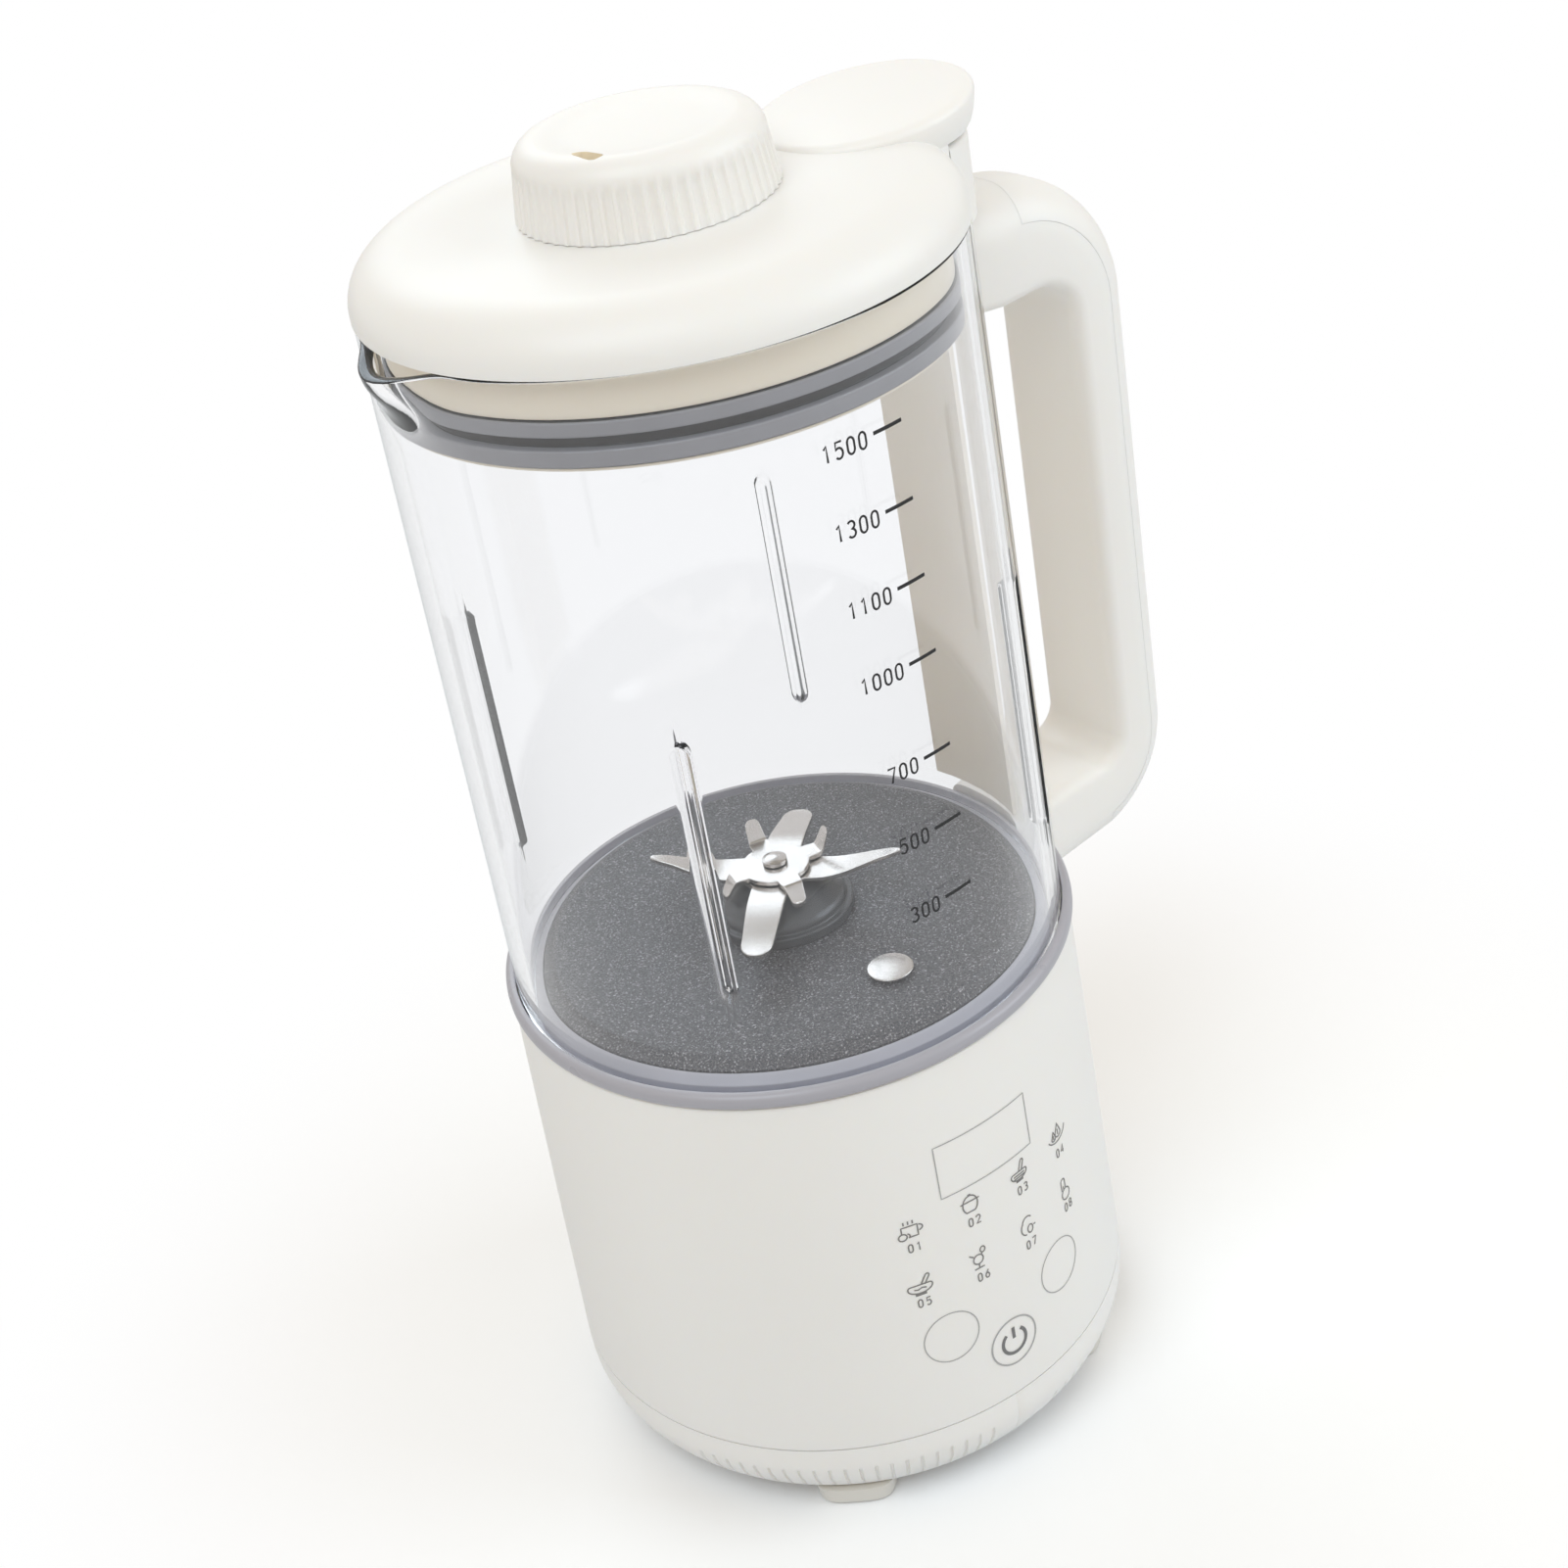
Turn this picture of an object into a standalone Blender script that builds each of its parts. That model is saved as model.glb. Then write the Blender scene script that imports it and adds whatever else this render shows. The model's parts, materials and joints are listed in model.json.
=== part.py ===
"""Soy milk maker with a fixed glass jug: a bottom-driven blender that heats, with a lift-off lid and cap.

Metres, +Z up. The machine stands on its four feet at height zero. The jug's axis is the local Z axis of the
root empty, the touch panel faces -Y, the handle +X and the spout -X.
"""

import math

import bmesh
import bpy
from mathutils import Matrix, Vector

# Shared clearances and mesh fineness
gap = 0.0003
running_gap = 0.0006
overrun = 0.004
weld = 0.000002
wide_steps = 48
hidden_steps = 32
middle_steps = 24
small_steps = 16
rod_steps = 10
inner_steps = 12
crease_degrees = 32

# Base housing
foot_rise = 0.0055
cover_rise = 0.0185
shell_rise = 0.0995
seam_radius = 0.0682
shell_taper = 0.0024
base_wall = 0.0026
cover_floor = 0.0022
cover_lip_rise = 0.0035
cover_lip_thickness = 0.0013
cover_edge_inset = 0.0067
cover_edge_rise = 0.0140
cover_edge_shares = (0.0, 0.14, 0.32, 0.54, 0.78, 1.0)
cover_inside_share = 0.54
deck_ledge = 0.0143
deck_thickness = 0.0025
deck_edge_round = 0.0008

# Feet and vents
foot_radius = 0.0098
foot_inset = 0.0095
foot_stem_radius = 0.0036
foot_head_radius = 0.0052
foot_head_thickness = 0.0016
foot_round = 0.0016
foot_turn = 51
foot_angles = (foot_turn, 180 - foot_turn, 180 + foot_turn, 360 - foot_turn)
vent_slot_width = 0.0011
vent_slots_per_bank = 16
vent_pitch_degrees = 3.75
vent_first_degrees = 13.125
vent_low_rise = 0.0024
vent_high_rise = 0.0088
floor_slot_count = 8
floor_slot_length = 0.016
floor_slot_width = 0.003
floor_slot_place = 0.024

# Jug
jug_ledge = 0.0016
jug_taper = 0.0014
jug_wall = 0.0032
jug_height = 0.1650
rim_round = 0.0010
rib_depth = 0.0030
rib_half_degrees = 2.6
rib_bottom = 0.0270
rib_top = 0.0895
rib_end = 0.0030
rib_angles = (46, 134, 226, 314)
rib_line_shares = (-1.0, -0.62, -0.2, 0.2, 0.62, 1.0)
rib_steepness_share = 1.6
spout_reach = 0.0061
spout_half_degrees = 16.5
spout_drop = 0.0016
spout_depth = 0.0200
spout_curve_share = 1.5
spout_height_shares = (1.0, 0.58, 0.32, 0.14)
crown_shares = (0.3, 0.7)
spout_line_shares = (0.22, 0.42, 0.62, 0.82, 1.0)
plain_line_degrees = 8.5

# Jug ring, gasket and heating plate
ring_bulge = 0.0009
ring_height = 0.0041
ring_bulge_shares = ((0.0, 0.0), (1.0, 0.24), (1.0, 0.5), (0.2, 0.84), (-0.8, 1.0))
gasket_flange = 0.0016
gasket_wall = 0.0026
gasket_inner_height = 0.0052
gasket_outer_height = 0.0036
plate_rim_width = 0.0031
plate_rim_height = 0.0055
plate_floor_height = 0.0072
plate_step_width = 0.0008
plate_step_depth = 0.0007
plate_thickness = 0.0026
plate_skirt = 0.0022
plate_stem_hole_radius = 0.0103

# Shaft housing in the plate
housing_flange_radius = 0.0167
housing_flange_height = 0.0024
housing_body_radius = 0.0152
housing_body_height = 0.0042
housing_top_radius = 0.0074
housing_top_height = 0.0094
housing_edge = 0.0004
housing_round_shares = (0.35, 0.5)
housing_depth = 0.0262
housing_bore_radius = 0.0079
bearing_radius = 0.0076
bearing_height = 0.0070
seal_height = 0.0060
seal_lip_height = 0.0020
ring_nut_radius = 0.0150
ring_nut_height = 0.0036
ring_nut_edge = 0.0008

# Rotor: shaft, blades, fan
shaft_radius = 0.0040
shaft_foot_radius = 0.0034
shaft_neck_radius = 0.0016
long_blade_reach = 0.0296
blade_thickness = 0.0012
long_hub_radius = 0.0084
long_root_width = 0.0072
long_tip_width = 0.0044
long_blade_lift = 0.0042
long_blade_fall = 0.0032
long_arm_shares = ((0.3, 0.1, 0.0), (0.65, 0.6, 0.4), (0.94, 1.0, 0.9), (1.0, 1.5, 1.0))
short_blade_reach = 0.0135
short_hub_radius = 0.0080
short_root_width = 0.0052
short_tip_width = 0.0034
short_blade_lift = 0.0048
short_blade_fall = 0.0038
short_arm_shares = ((0.45, 0.3, 0.0), (0.9, 1.0, 0.84), (1.0, 1.6, 1.0))
long_first_degrees = 43.0
short_first_degrees = 76.0
nut_radius = 0.0029
nut_flat_height = 0.0009
nut_dome_height = 0.0006
nut_dome_shares = ((0.86, 0.3), (0.5, 1.0))
fan_radius = 0.0260
fan_hub_radius = 0.0080
fan_height = 0.0085
fan_blade_count = 7
fan_blade_thickness = 0.0012
fan_disc_thickness = 0.0014
fan_steps = fan_blade_count * 3

# Motor
bracket_drop = 0.0185
bracket_thickness = 0.0030
bracket_radius = 0.0270
bracket_arm_width = 0.0100
bracket_post_radius = 0.0036
bracket_post_inset = 0.0080
bracket_arm_end = 0.0008
bracket_angles = (45, 135, 225, 315)
bracket_rim_turns = (30, 45, 60)
stator_drop = 0.0360
stator_height = 0.0360
stator_half_width = 0.0300
stator_corner = 0.0110
stator_bore_radius = 0.0205
stator_leg_place = 0.0325
stator_leg_radius = 0.0030
air_gap = 0.0007
core_slot_count = 12
core_slot_depth = 0.0060
core_slot_share = 0.34
core_mouth_share = 0.5
winding_radius = 0.0165
winding_height = 0.0050
winding_round_shares = (0.5, 0.7)
commutator_radius = 0.0105
commutator_height = 0.0095
lower_bracket_thickness = 0.0030
lower_bracket_half_width = 0.0110
lower_bearing_radius = 0.0070
lower_bearing_height = 0.0050
lower_cup_wall = 0.0020
field_winding_thickness = 0.0052
field_winding_height = 0.0060
field_round_shares = ((1.0, 0.0), (1.0, 0.7), (0.6, 1.0), (0.3, 1.0), (0.0, 0.7))
brush_width = 0.0060
brush_height = 0.0050
brush_length = 0.0120
brush_free_length = 0.0030
holder_wall = 0.0010
holder_length = 0.0125

# Parts under the plate
element_inset = 0.0113
element_tube_radius = 0.0032
element_sweep_degrees = 300
element_leg = 0.0130
element_leg_bend = 0.0050
element_bends = 16
probe_radius = 0.0052
probe_height = 0.0005
probe_dome = 0.0003
probe_dome_shares = (0.8, 0.7)
probe_stem_radius = 0.0030
probe_stem_length = 0.0100
probe_place_radius = 0.0386
probe_angle_degrees = -88.6
probe_seal_radius = 0.0044
probe_seal_height = 0.0004
cutout_radius = 0.0080
cutout_cap_radius = 0.0056
cutout_height = 0.0065
cutout_place_radius = 0.0290
cutout_ear_length = 0.0200
cutout_ear_width = 0.0080
cutout_ear_thickness = 0.0012

# Electronics
board_thickness = 0.0016
control_board_half_width = 0.0250
control_board_rise = 0.0080
control_board_top_drop = 0.0135
display_width = 0.0263
display_height = 0.0142
display_drop = 0.0280
touch_film_thickness = 0.0004
touch_film_half_degrees = 26
touch_film_top_drop = 0.0370
touch_film_height = 0.0540
touch_film_bends = 10
power_board_half_width = 0.0300
power_board_top_drop = 0.0135
power_board_height = 0.0480
component_inset = 0.0120
relay_size = (0.0190, 0.0110, 0.0150)
transformer_size = (0.0200, 0.0130, 0.0170)
capacitor_radius = 0.0060
capacitor_length = 0.0140
inlet_rise = 0.0200
inlet_half_width = 0.0135
inlet_half_height = 0.0100
inlet_depth = 0.0180
inlet_wall = 0.0018
inlet_floor = 0.0030
inlet_bezel = 0.0022
inlet_bezel_thickness = 0.0012
inlet_pin_length = 0.0100
inlet_pin_width = 0.0040
inlet_pin_thickness = 0.0020
inlet_pin_spread = 0.0070

# Lid
lid_overhang = 0.0003
lid_height = 0.0114
lid_side_height = 0.0010
lid_round = 0.0130
lid_wall = 0.0024
lid_hole_radius = 0.0228
lid_outer_turns = (22, 45, 68, 90)
lid_inner_turns = (45, 90)
plug_clearance = 0.0014
plug_seal_seat = 0.0024
plug_depth = 0.0196
plug_wall = 0.0018
plug_rim_lip = 0.0018
plug_lip_thickness = 0.0009
tube_flange = 0.0022
tube_flange_thickness = 0.0009
lid_seal_bottom = 0.0006
lid_seal_height = 0.0093
lid_seal_lower_lip = 0.0036
lid_seal_upper_lip = 0.0031
lid_seal_groove = 0.0022
lid_seal_clearance = 0.0006
tab_inset = 0.0087
tab_radius = 0.0237
tab_bottom_radius = 0.0216
tab_bottom_drop = 0.0058
tab_height = 0.0028
tab_edge = 0.0026
tab_tilt_share = 0.085
tab_cap_clearance = 0.0019
tab_steps = 28
tab_side_shares = (0.75, 0.55)
tab_edge_shares = ((0.0, 0.0, 0.3), (0.35, 0.45, 0.3), (1.0, 0.6, 0.3))
magnet_radius = 0.0035
magnet_height = 0.0025
magnet_offset = 0.0081

# Cap
cap_radius = 0.0270
cap_band_top_radius = 0.0256
cap_band_height = 0.0104
cap_height = 0.0153
cap_wall = 0.0022
cap_dish_radius = 0.0178
cap_dish_depth = 0.0016
cap_dish_shares = (0.86, 0.55)
cap_rim_share = 0.35
cap_shoulder_shares = (0.62, 0.72)
cap_inside_share = 0.2
cap_rib_count = 60
cap_rib_depth = 0.0007
vent_hole_place = 0.0175
vent_hole_length = 0.0082
vent_hole_width = 0.0034
vent_hole_degrees = 203
vent_hole_tilt_degrees = 29
vent_hole_shares = ((1.0, 0.0), (0.7, 0.5), (0.0, 1.0), (-0.7, 0.5))
neck_radius = 0.0212
neck_wall = 0.0015
neck_depth = 0.0200
neck_foot_step = 0.0012
cap_seal_height = 0.0070
cap_seal_depth = 0.0170
cap_seal_lip = 0.0010
cap_seal_lip_shares = (0.25, 0.5, 0.75)

# Handle
handle_reach = 0.0474
grip_depth = 0.0172
grip_half_width = 0.0140
grip_outer_round = 0.0110
grip_inner_round = 0.0042
grip_outer_shares = (0.0, 0.08, 0.3, 0.65, 1.0)
grip_inner_shares = (1.0, 0.45, 0.12, 0.0)
handle_top_drop = 0.0112
top_arm_depth = 0.0230
top_arm_rise = 0.0016
top_arm_fall = 0.0010
top_arm_lean_share = 0.06
top_arm_shares = (0.0, 0.4, 0.75)
bottom_arm_top = 0.0080
bottom_arm_depth = 0.0235
bottom_arm_root_drop = 0.0040
bottom_arm_lean_share = 0.10
bottom_arm_shares = (0.15, 0.55, 1.0)
corner_reach = 0.0290
corner_top_turns = (86, 70, 54, 38, 22, 6)
corner_bottom_turns = (-4, -22, -40, -58, -76)
handle_root_inset = 0.0098
cover_skin = 0.0078
cover_top_reach = 0.0322
cover_bottom_reach = 0.0252
block_radius = 0.0212
block_gap_to_tab = 0.0013
block_base_drop = 0.0180
block_inner_clearance = 0.0006
strip_thickness = 0.0019
strip_half_degrees = 14.2
strip_bottom = 0.0092
strip_top_drop = 0.0160
strip_gap_to_glass = 0.0004
strip_bends = 6
reed_length = 0.0140
reed_half_width = 0.0022
reed_pocket_drop = 0.0020

# Radii that follow from the sizes above
deck_radius = seam_radius - shell_taper
cover_flat_radius = seam_radius - cover_edge_inset
deck_opening_radius = deck_radius - deck_ledge
foot_place_radius = cover_flat_radius - foot_inset
jug_base_radius = deck_radius - jug_ledge
jug_mouth_radius = jug_base_radius - jug_taper
jug_inner_base = jug_base_radius - jug_wall
jug_inner_mouth = jug_mouth_radius - jug_wall
gasket_lip_radius = jug_inner_base - gap
plate_radius = gasket_lip_radius - gasket_wall - gap
plate_floor_radius = plate_radius - plate_rim_width
element_radius = plate_radius - element_inset
bracket_post_place = deck_radius - bracket_post_inset
lid_radius = jug_mouth_radius + lid_overhang
plug_radius = jug_inner_mouth - plug_clearance
tab_centre = lid_radius - tab_inset
magnet_place = lid_radius + magnet_offset
neck_foot_radius = neck_radius - neck_foot_step
cap_seal_reach = neck_radius + cap_seal_lip
grip_outer = deck_radius + handle_reach
handle_root = deck_radius - handle_root_inset
cover_start = grip_outer - cover_top_reach
cover_end = grip_outer - cover_bottom_reach
root_shift = (grip_outer - max(jug_mouth_radius + spout_reach, seam_radius)) / 2

# Heights that follow from the sizes above
cover_bottom = foot_rise
seam_height = foot_rise + cover_rise
deck = seam_height + shell_rise
inlet_height = seam_height + inlet_rise
plate_top = deck + plate_floor_height
plate_under = plate_top - plate_thickness
jug_bottom = deck + gap + gasket_flange + gap
rim_height = jug_bottom + jug_height
lid_bottom = rim_height + gap
lid_top = lid_bottom + lid_height
tab_floor = lid_top - tab_bottom_drop
block_top = tab_floor - block_gap_to_tab
plug_bottom = rim_height - plug_depth
cap_bottom = lid_top + gap
cap_top = cap_bottom + cap_height
cap_ceiling = cap_top - cap_dish_depth - cap_wall
cap_seal_bottom = lid_top - cap_seal_depth
housing_top = plate_top + gap + housing_top_height
long_blade_height = housing_top + running_gap
short_blade_height = long_blade_height + blade_thickness + gap
nut_height = short_blade_height + blade_thickness + gap
shaft_top = nut_height + nut_flat_height - gap
bracket_top = deck - bracket_drop
stator_top = deck - stator_drop
stator_bottom = stator_top - stator_height
commutator_top = stator_bottom - gap - winding_height - gap
commutator_bottom = commutator_top - commutator_height
lower_bracket_top = commutator_bottom - running_gap
lower_bracket_bottom = lower_bracket_top - lower_bracket_thickness - lower_bearing_height
fan_top = lower_bracket_bottom - running_gap


def clear_scene():
    for item in list(bpy.data.objects):
        bpy.data.objects.remove(item, do_unlink=True)


def colour_of(name, rgb, roughness, metallic=0.0, transmission=0.0):
    made = bpy.data.materials.new(name)
    made.use_nodes = True
    made.diffuse_color = (*rgb, 1.0)
    shader = made.node_tree.nodes["Principled BSDF"]
    shader.inputs["Base Color"].default_value = (*rgb, 1.0)
    shader.inputs["Roughness"].default_value = roughness
    shader.inputs["Metallic"].default_value = metallic
    shader.inputs["Transmission Weight"].default_value = transmission
    return made


def empty(name, parent=None, height=0.0):
    made = bpy.data.objects.new(name, None)
    bpy.context.scene.collection.objects.link(made)
    made.parent = parent
    made.location = (0, 0, height)
    return made


def settle(name, mesh, look, parent, smooth=True):
    """Turns a bmesh in the jug's own frame into a named object of the scene."""
    bmesh.ops.remove_doubles(mesh, verts=mesh.verts, dist=weld)
    bmesh.ops.recalc_face_normals(mesh, faces=mesh.faces)
    data = bpy.data.meshes.new(name)
    mesh.to_mesh(data)
    mesh.free()
    made = bpy.data.objects.new(name, data)
    bpy.context.scene.collection.objects.link(made)
    if look:
        data.materials.append(look)
    if parent:
        made.parent = parent
        made.location = (0, 0, -parent.location.z if parent.parent else 0)
    if smooth:
        data.shade_smooth()
        data.set_sharp_from_angle(angle=math.radians(crease_degrees))
    return made


def guide(name, mesh):
    """A cutter or a piece to be joined: it takes no part in the render."""
    made = settle(name, mesh, None, None, smooth=False)
    made.hide_render = True
    made.display_type = "WIRE"
    return made


def combine(target, tool, operation):
    """Applies one exact Boolean and removes the tool."""
    tool.parent = target.parent
    tool.location = target.location
    modifier = target.modifiers.new(operation.title(), "BOOLEAN")
    modifier.operation = operation
    modifier.solver = "EXACT"
    modifier.object = tool
    bpy.context.view_layer.update()
    graph = bpy.context.evaluated_depsgraph_get()
    data = bpy.data.meshes.new_from_object(target.evaluated_get(graph))
    target.modifiers.clear()
    old = target.data
    target.data = data
    bpy.data.meshes.remove(old)
    bpy.data.objects.remove(tool, do_unlink=True)
    data.shade_smooth()
    data.set_sharp_from_angle(angle=math.radians(crease_degrees))


def cut(target, tool_mesh):
    combine(target, guide(target.name + "_cutter", tool_mesh), "DIFFERENCE")


def join(target, tool_mesh):
    combine(target, guide(target.name + "_addition", tool_mesh), "UNION")


def turned(outline, steps=wide_steps):
    """Spins an outline of (radius, height) once round Z: a closed outline, or one that ends on the axis."""
    mesh = bmesh.new()
    points = [mesh.verts.new((radius, 0, height)) for radius, height in outline]
    pairs = list(zip(points, points[1:]))
    if outline[0][0] > 0:
        pairs.append((points[-1], points[0]))
    edges = [mesh.edges.new(pair) for pair in pairs]
    bmesh.ops.spin(
        mesh,
        geom=points + edges,
        cent=(0, 0, 0),
        axis=(0, 0, 1),
        angle=math.tau,
        steps=steps,
        use_merge=True,
    )
    bmesh.ops.remove_doubles(mesh, verts=mesh.verts, dist=weld)
    return mesh


def stitch(mesh, lower, upper):
    """Faces between two loops of one corner count, or where one has a whole multiple of the other's."""
    count = min(len(lower), len(upper))
    low_step = len(lower) // count
    high_step = len(upper) // count
    for index in range(count):
        low = [lower[(index * low_step + extra) % len(lower)] for extra in range(low_step + 1)]
        high = [upper[(index * high_step + extra) % len(upper)] for extra in range(high_step + 1)]
        mesh.faces.new(low + high[::-1])


def lofted(rings):
    """A closed solid through rings of points, with flat ends."""
    mesh = bmesh.new()
    loops = [[mesh.verts.new(point) for point in ring] for ring in rings]
    for lower, upper in zip(loops, loops[1:]):
        stitch(mesh, lower, upper)
    mesh.faces.new(list(reversed(loops[0])))
    mesh.faces.new(loops[-1])
    return mesh


def prism(outline, bottom, top):
    """A flat outline of (x, y) points drawn up from one height to another."""
    return lofted([[(x, y, height) for x, y in outline] for height in (bottom, top)])


def block(low, high):
    """A box between two corners."""
    outline = [(low[0], low[1]), (high[0], low[1]), (high[0], high[1]), (low[0], high[1])]
    return prism(outline, low[2], high[2])


def post(place, radius, bottom, top, steps=small_steps):
    """An upright cylinder at an (x, y) place."""
    outline = [
        (place[0] + radius * math.cos(turn), place[1] + radius * math.sin(turn))
        for turn in (math.tau * step / steps for step in range(steps))
    ]
    return prism(outline, bottom, top)


def merged(*meshes):
    """Puts separate bodies that don't touch into one mesh, so one Boolean uses them all."""
    whole = bmesh.new()
    for mesh in meshes:
        data = bpy.data.meshes.new("merging")
        mesh.to_mesh(data)
        mesh.free()
        whole.from_mesh(data)
        bpy.data.meshes.remove(data)
    return whole


def polar(radius, degrees):
    return (radius * math.cos(math.radians(degrees)), radius * math.sin(math.radians(degrees)))


def placed(mesh, turn_degrees=0.0, offset=(0, 0, 0)):
    """Turns a mesh about Z and then moves it."""
    matrix = Matrix.Translation(Vector(offset)) @ Matrix.Rotation(math.radians(turn_degrees), 4, "Z")
    bmesh.ops.transform(mesh, matrix=matrix, verts=mesh.verts)
    return mesh


def mix(start, end, share):
    return start + (end - start) * share


def smooth_share(value):
    """An ease from 0 to 1 with level ends."""
    held = min(max(value, 0.0), 1.0)
    return held * held * (3 - 2 * held)


def shell_radius(height):
    """The base shell's outer radius at a height."""
    return mix(seam_radius, deck_radius, (height - seam_height) / shell_rise)


def cover_radius(height):
    """The bottom cover's outer radius at a height: a parabola that ends upright below the seam."""
    share = max(0.0, 1 - (height - cover_bottom) / cover_edge_rise)
    return seam_radius - cover_edge_inset * share**2


def jug_radius(height):
    """The jug's outer radius at a height, without spout or ribs."""
    return mix(jug_base_radius, jug_mouth_radius, (height - jug_bottom) / jug_height)


def vent_cutters():
    """Fine upright slots through the rounded edge of the bottom cover, in a bank on each side of the front."""
    slots = []
    half = vent_slot_width / 2
    low = cover_bottom + vent_low_rise
    for side in (-1, 1):
        for number in range(vent_slots_per_bank):
            turn = vent_first_degrees + number * vent_pitch_degrees
            near = (cover_radius(low) - 2 * base_wall, -half, low)
            far = (seam_radius + overrun, half, cover_bottom + vent_high_rise)
            slots.append(placed(block(near, far), side * turn - 90))
    return merged(*slots)


def build_bottom_cover(parent, look):
    """A dish with a rounded edge and a lip that stands up inside the shell."""
    lip = seam_radius - base_wall - gap
    lip_inner = lip - cover_lip_thickness
    floor = cover_bottom + cover_floor
    outline = [(0, cover_bottom)]
    for share in cover_edge_shares:
        height = cover_bottom + cover_edge_rise * share
        outline.append((cover_radius(height), height))
    outline += [
        (seam_radius, seam_height - gap),
        (lip, seam_height - gap),
        (lip, seam_height + cover_lip_rise),
        (lip_inner, seam_height + cover_lip_rise),
        (lip_inner, cover_bottom + cover_edge_rise * cover_inside_share),
        (cover_radius(floor) - base_wall, floor),
        (0, floor),
    ]
    cover = settle("bottom_cover", turned(outline), look, parent)
    cut(cover, vent_cutters())
    low = cover_bottom - overrun
    high = cover_bottom + overrun
    openings = [
        post(polar(foot_place_radius, degrees), foot_stem_radius + gap, low, high, rod_steps)
        for degrees in foot_angles
    ]
    for number in range(floor_slot_count):
        slot = block(
            (floor_slot_place - floor_slot_length / 2, -floor_slot_width / 2, low),
            (floor_slot_place + floor_slot_length / 2, floor_slot_width / 2, high),
        )
        openings.append(placed(slot, 360 * number / floor_slot_count))
    cut(cover, merged(*openings))


def build_feet(parent, look):
    """Rubber feet, each pushed through the cover by a mushroom-headed stem."""
    top = cover_bottom - gap
    inside = cover_bottom + cover_floor + gap
    outline = [
        (0, 0),
        (foot_radius - foot_round, 0),
        (foot_radius, foot_round),
        (foot_radius, top),
        (foot_stem_radius, top),
        (foot_stem_radius, inside),
        (foot_head_radius, inside),
        (foot_stem_radius, inside + foot_head_thickness),
        (0, inside + foot_head_thickness),
    ]
    for number, degrees in enumerate(foot_angles, start=1):
        foot = placed(turned(outline, small_steps), 0, (*polar(foot_place_radius, degrees), 0))
        settle(f"foot_{number}", foot, look, parent)


def inlet_face():
    return shell_radius(inlet_height) + gap


def inlet_cutter(margin, start):
    """What the shell gives up for the inlet's body, or with a margin for its bezel."""
    across = inlet_half_width + margin + gap
    up = inlet_half_height + margin + gap
    return block((-across, start, inlet_height - up), (across, seam_radius + overrun, inlet_height + up))


def build_base_shell(parent, look):
    outline = [
        (seam_radius, seam_height),
        (deck_radius, deck - deck_edge_round),
        (deck_radius - deck_edge_round, deck),
        (deck_opening_radius, deck),
        (deck_opening_radius, deck - deck_thickness),
        (deck_radius - base_wall, deck - deck_thickness),
        (seam_radius - base_wall, seam_height),
    ]
    shell = settle("base_shell", turned(outline), look, parent)
    cut(shell, inlet_cutter(0, deck_radius - base_wall - overrun))
    cut(shell, inlet_cutter(inlet_bezel, inlet_face() - inlet_bezel_thickness - gap))


def build_power_inlet(parent, look):
    """A recessed three-pin inlet at the back; its bezel is let into the shell wall."""
    face = inlet_face()
    low = inlet_height - inlet_half_height
    high = inlet_height + inlet_half_height
    body = block((-inlet_half_width, face - inlet_depth, low), (inlet_half_width, face, high))
    inlet = settle("power_inlet", body, look, parent)
    join(
        inlet,
        block(
            (-inlet_half_width - inlet_bezel, face - inlet_bezel_thickness, low - inlet_bezel),
            (inlet_half_width + inlet_bezel, face, high + inlet_bezel),
        ),
    )
    cut(
        inlet,
        block(
            (-inlet_half_width + inlet_wall, face - inlet_depth + inlet_floor, low + inlet_wall),
            (inlet_half_width - inlet_wall, face + overrun, high - inlet_wall),
        ),
    )
    floor = face - inlet_depth + inlet_floor
    pins = []
    for across, rise in ((-inlet_pin_spread, -1), (0, 1), (inlet_pin_spread, -1)):
        centre = inlet_height + rise * inlet_pin_width / 2
        pins.append(
            block(
                (across - inlet_pin_thickness / 2, floor - inlet_floor / 2, centre - inlet_pin_width / 2),
                (across + inlet_pin_thickness / 2, floor + inlet_pin_length, centre + inlet_pin_width / 2),
            )
        )
    join(inlet, merged(*pins))


def build_jug_ring(parent, look):
    """A round-shouldered ring on the deck, close round the foot of the jug."""
    inner = jug_base_radius + gap
    low = deck + gap
    high = deck + ring_height
    outline = [(inner, low)]
    outline += [(deck_radius + ring_bulge * out, mix(low, high, up)) for out, up in ring_bulge_shares]
    outline.append((inner, high))
    settle("jug_ring", turned(outline), look, parent)


def build_jug_gasket(parent, look):
    """A silicone ring: the jug stands on its foot, and its lip slopes down from the plate to the glass."""
    inner = plate_radius + gap
    foot_top = deck + gap + gasket_flange
    outline = [
        (inner, deck + gap),
        (jug_base_radius, deck + gap),
        (jug_base_radius, foot_top),
        (gasket_lip_radius, foot_top),
        (gasket_lip_radius, deck + gasket_outer_height),
        (inner, deck + gasket_inner_height),
    ]
    settle("jug_gasket", turned(outline), look, parent)


def build_heating_plate(parent, look):
    """The coated floor of the jug, with a step and a slope down to its edge and a skirt that stands on the deck."""
    outline = [
        (plate_stem_hole_radius, plate_top),
        (plate_floor_radius, plate_top),
        (plate_floor_radius + plate_step_width, plate_top - plate_step_depth),
        (plate_radius, deck + plate_rim_height),
        (plate_radius, deck + gap),
        (plate_radius - plate_skirt, deck + gap),
        (plate_radius - plate_skirt, plate_under),
        (plate_stem_hole_radius, plate_under),
    ]
    plate = settle("heating_plate", turned(outline), look, parent)
    place = polar(probe_place_radius, probe_angle_degrees)
    cut(plate, post(place, probe_stem_radius + gap, plate_under - overrun, plate_top + overrun))


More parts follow.
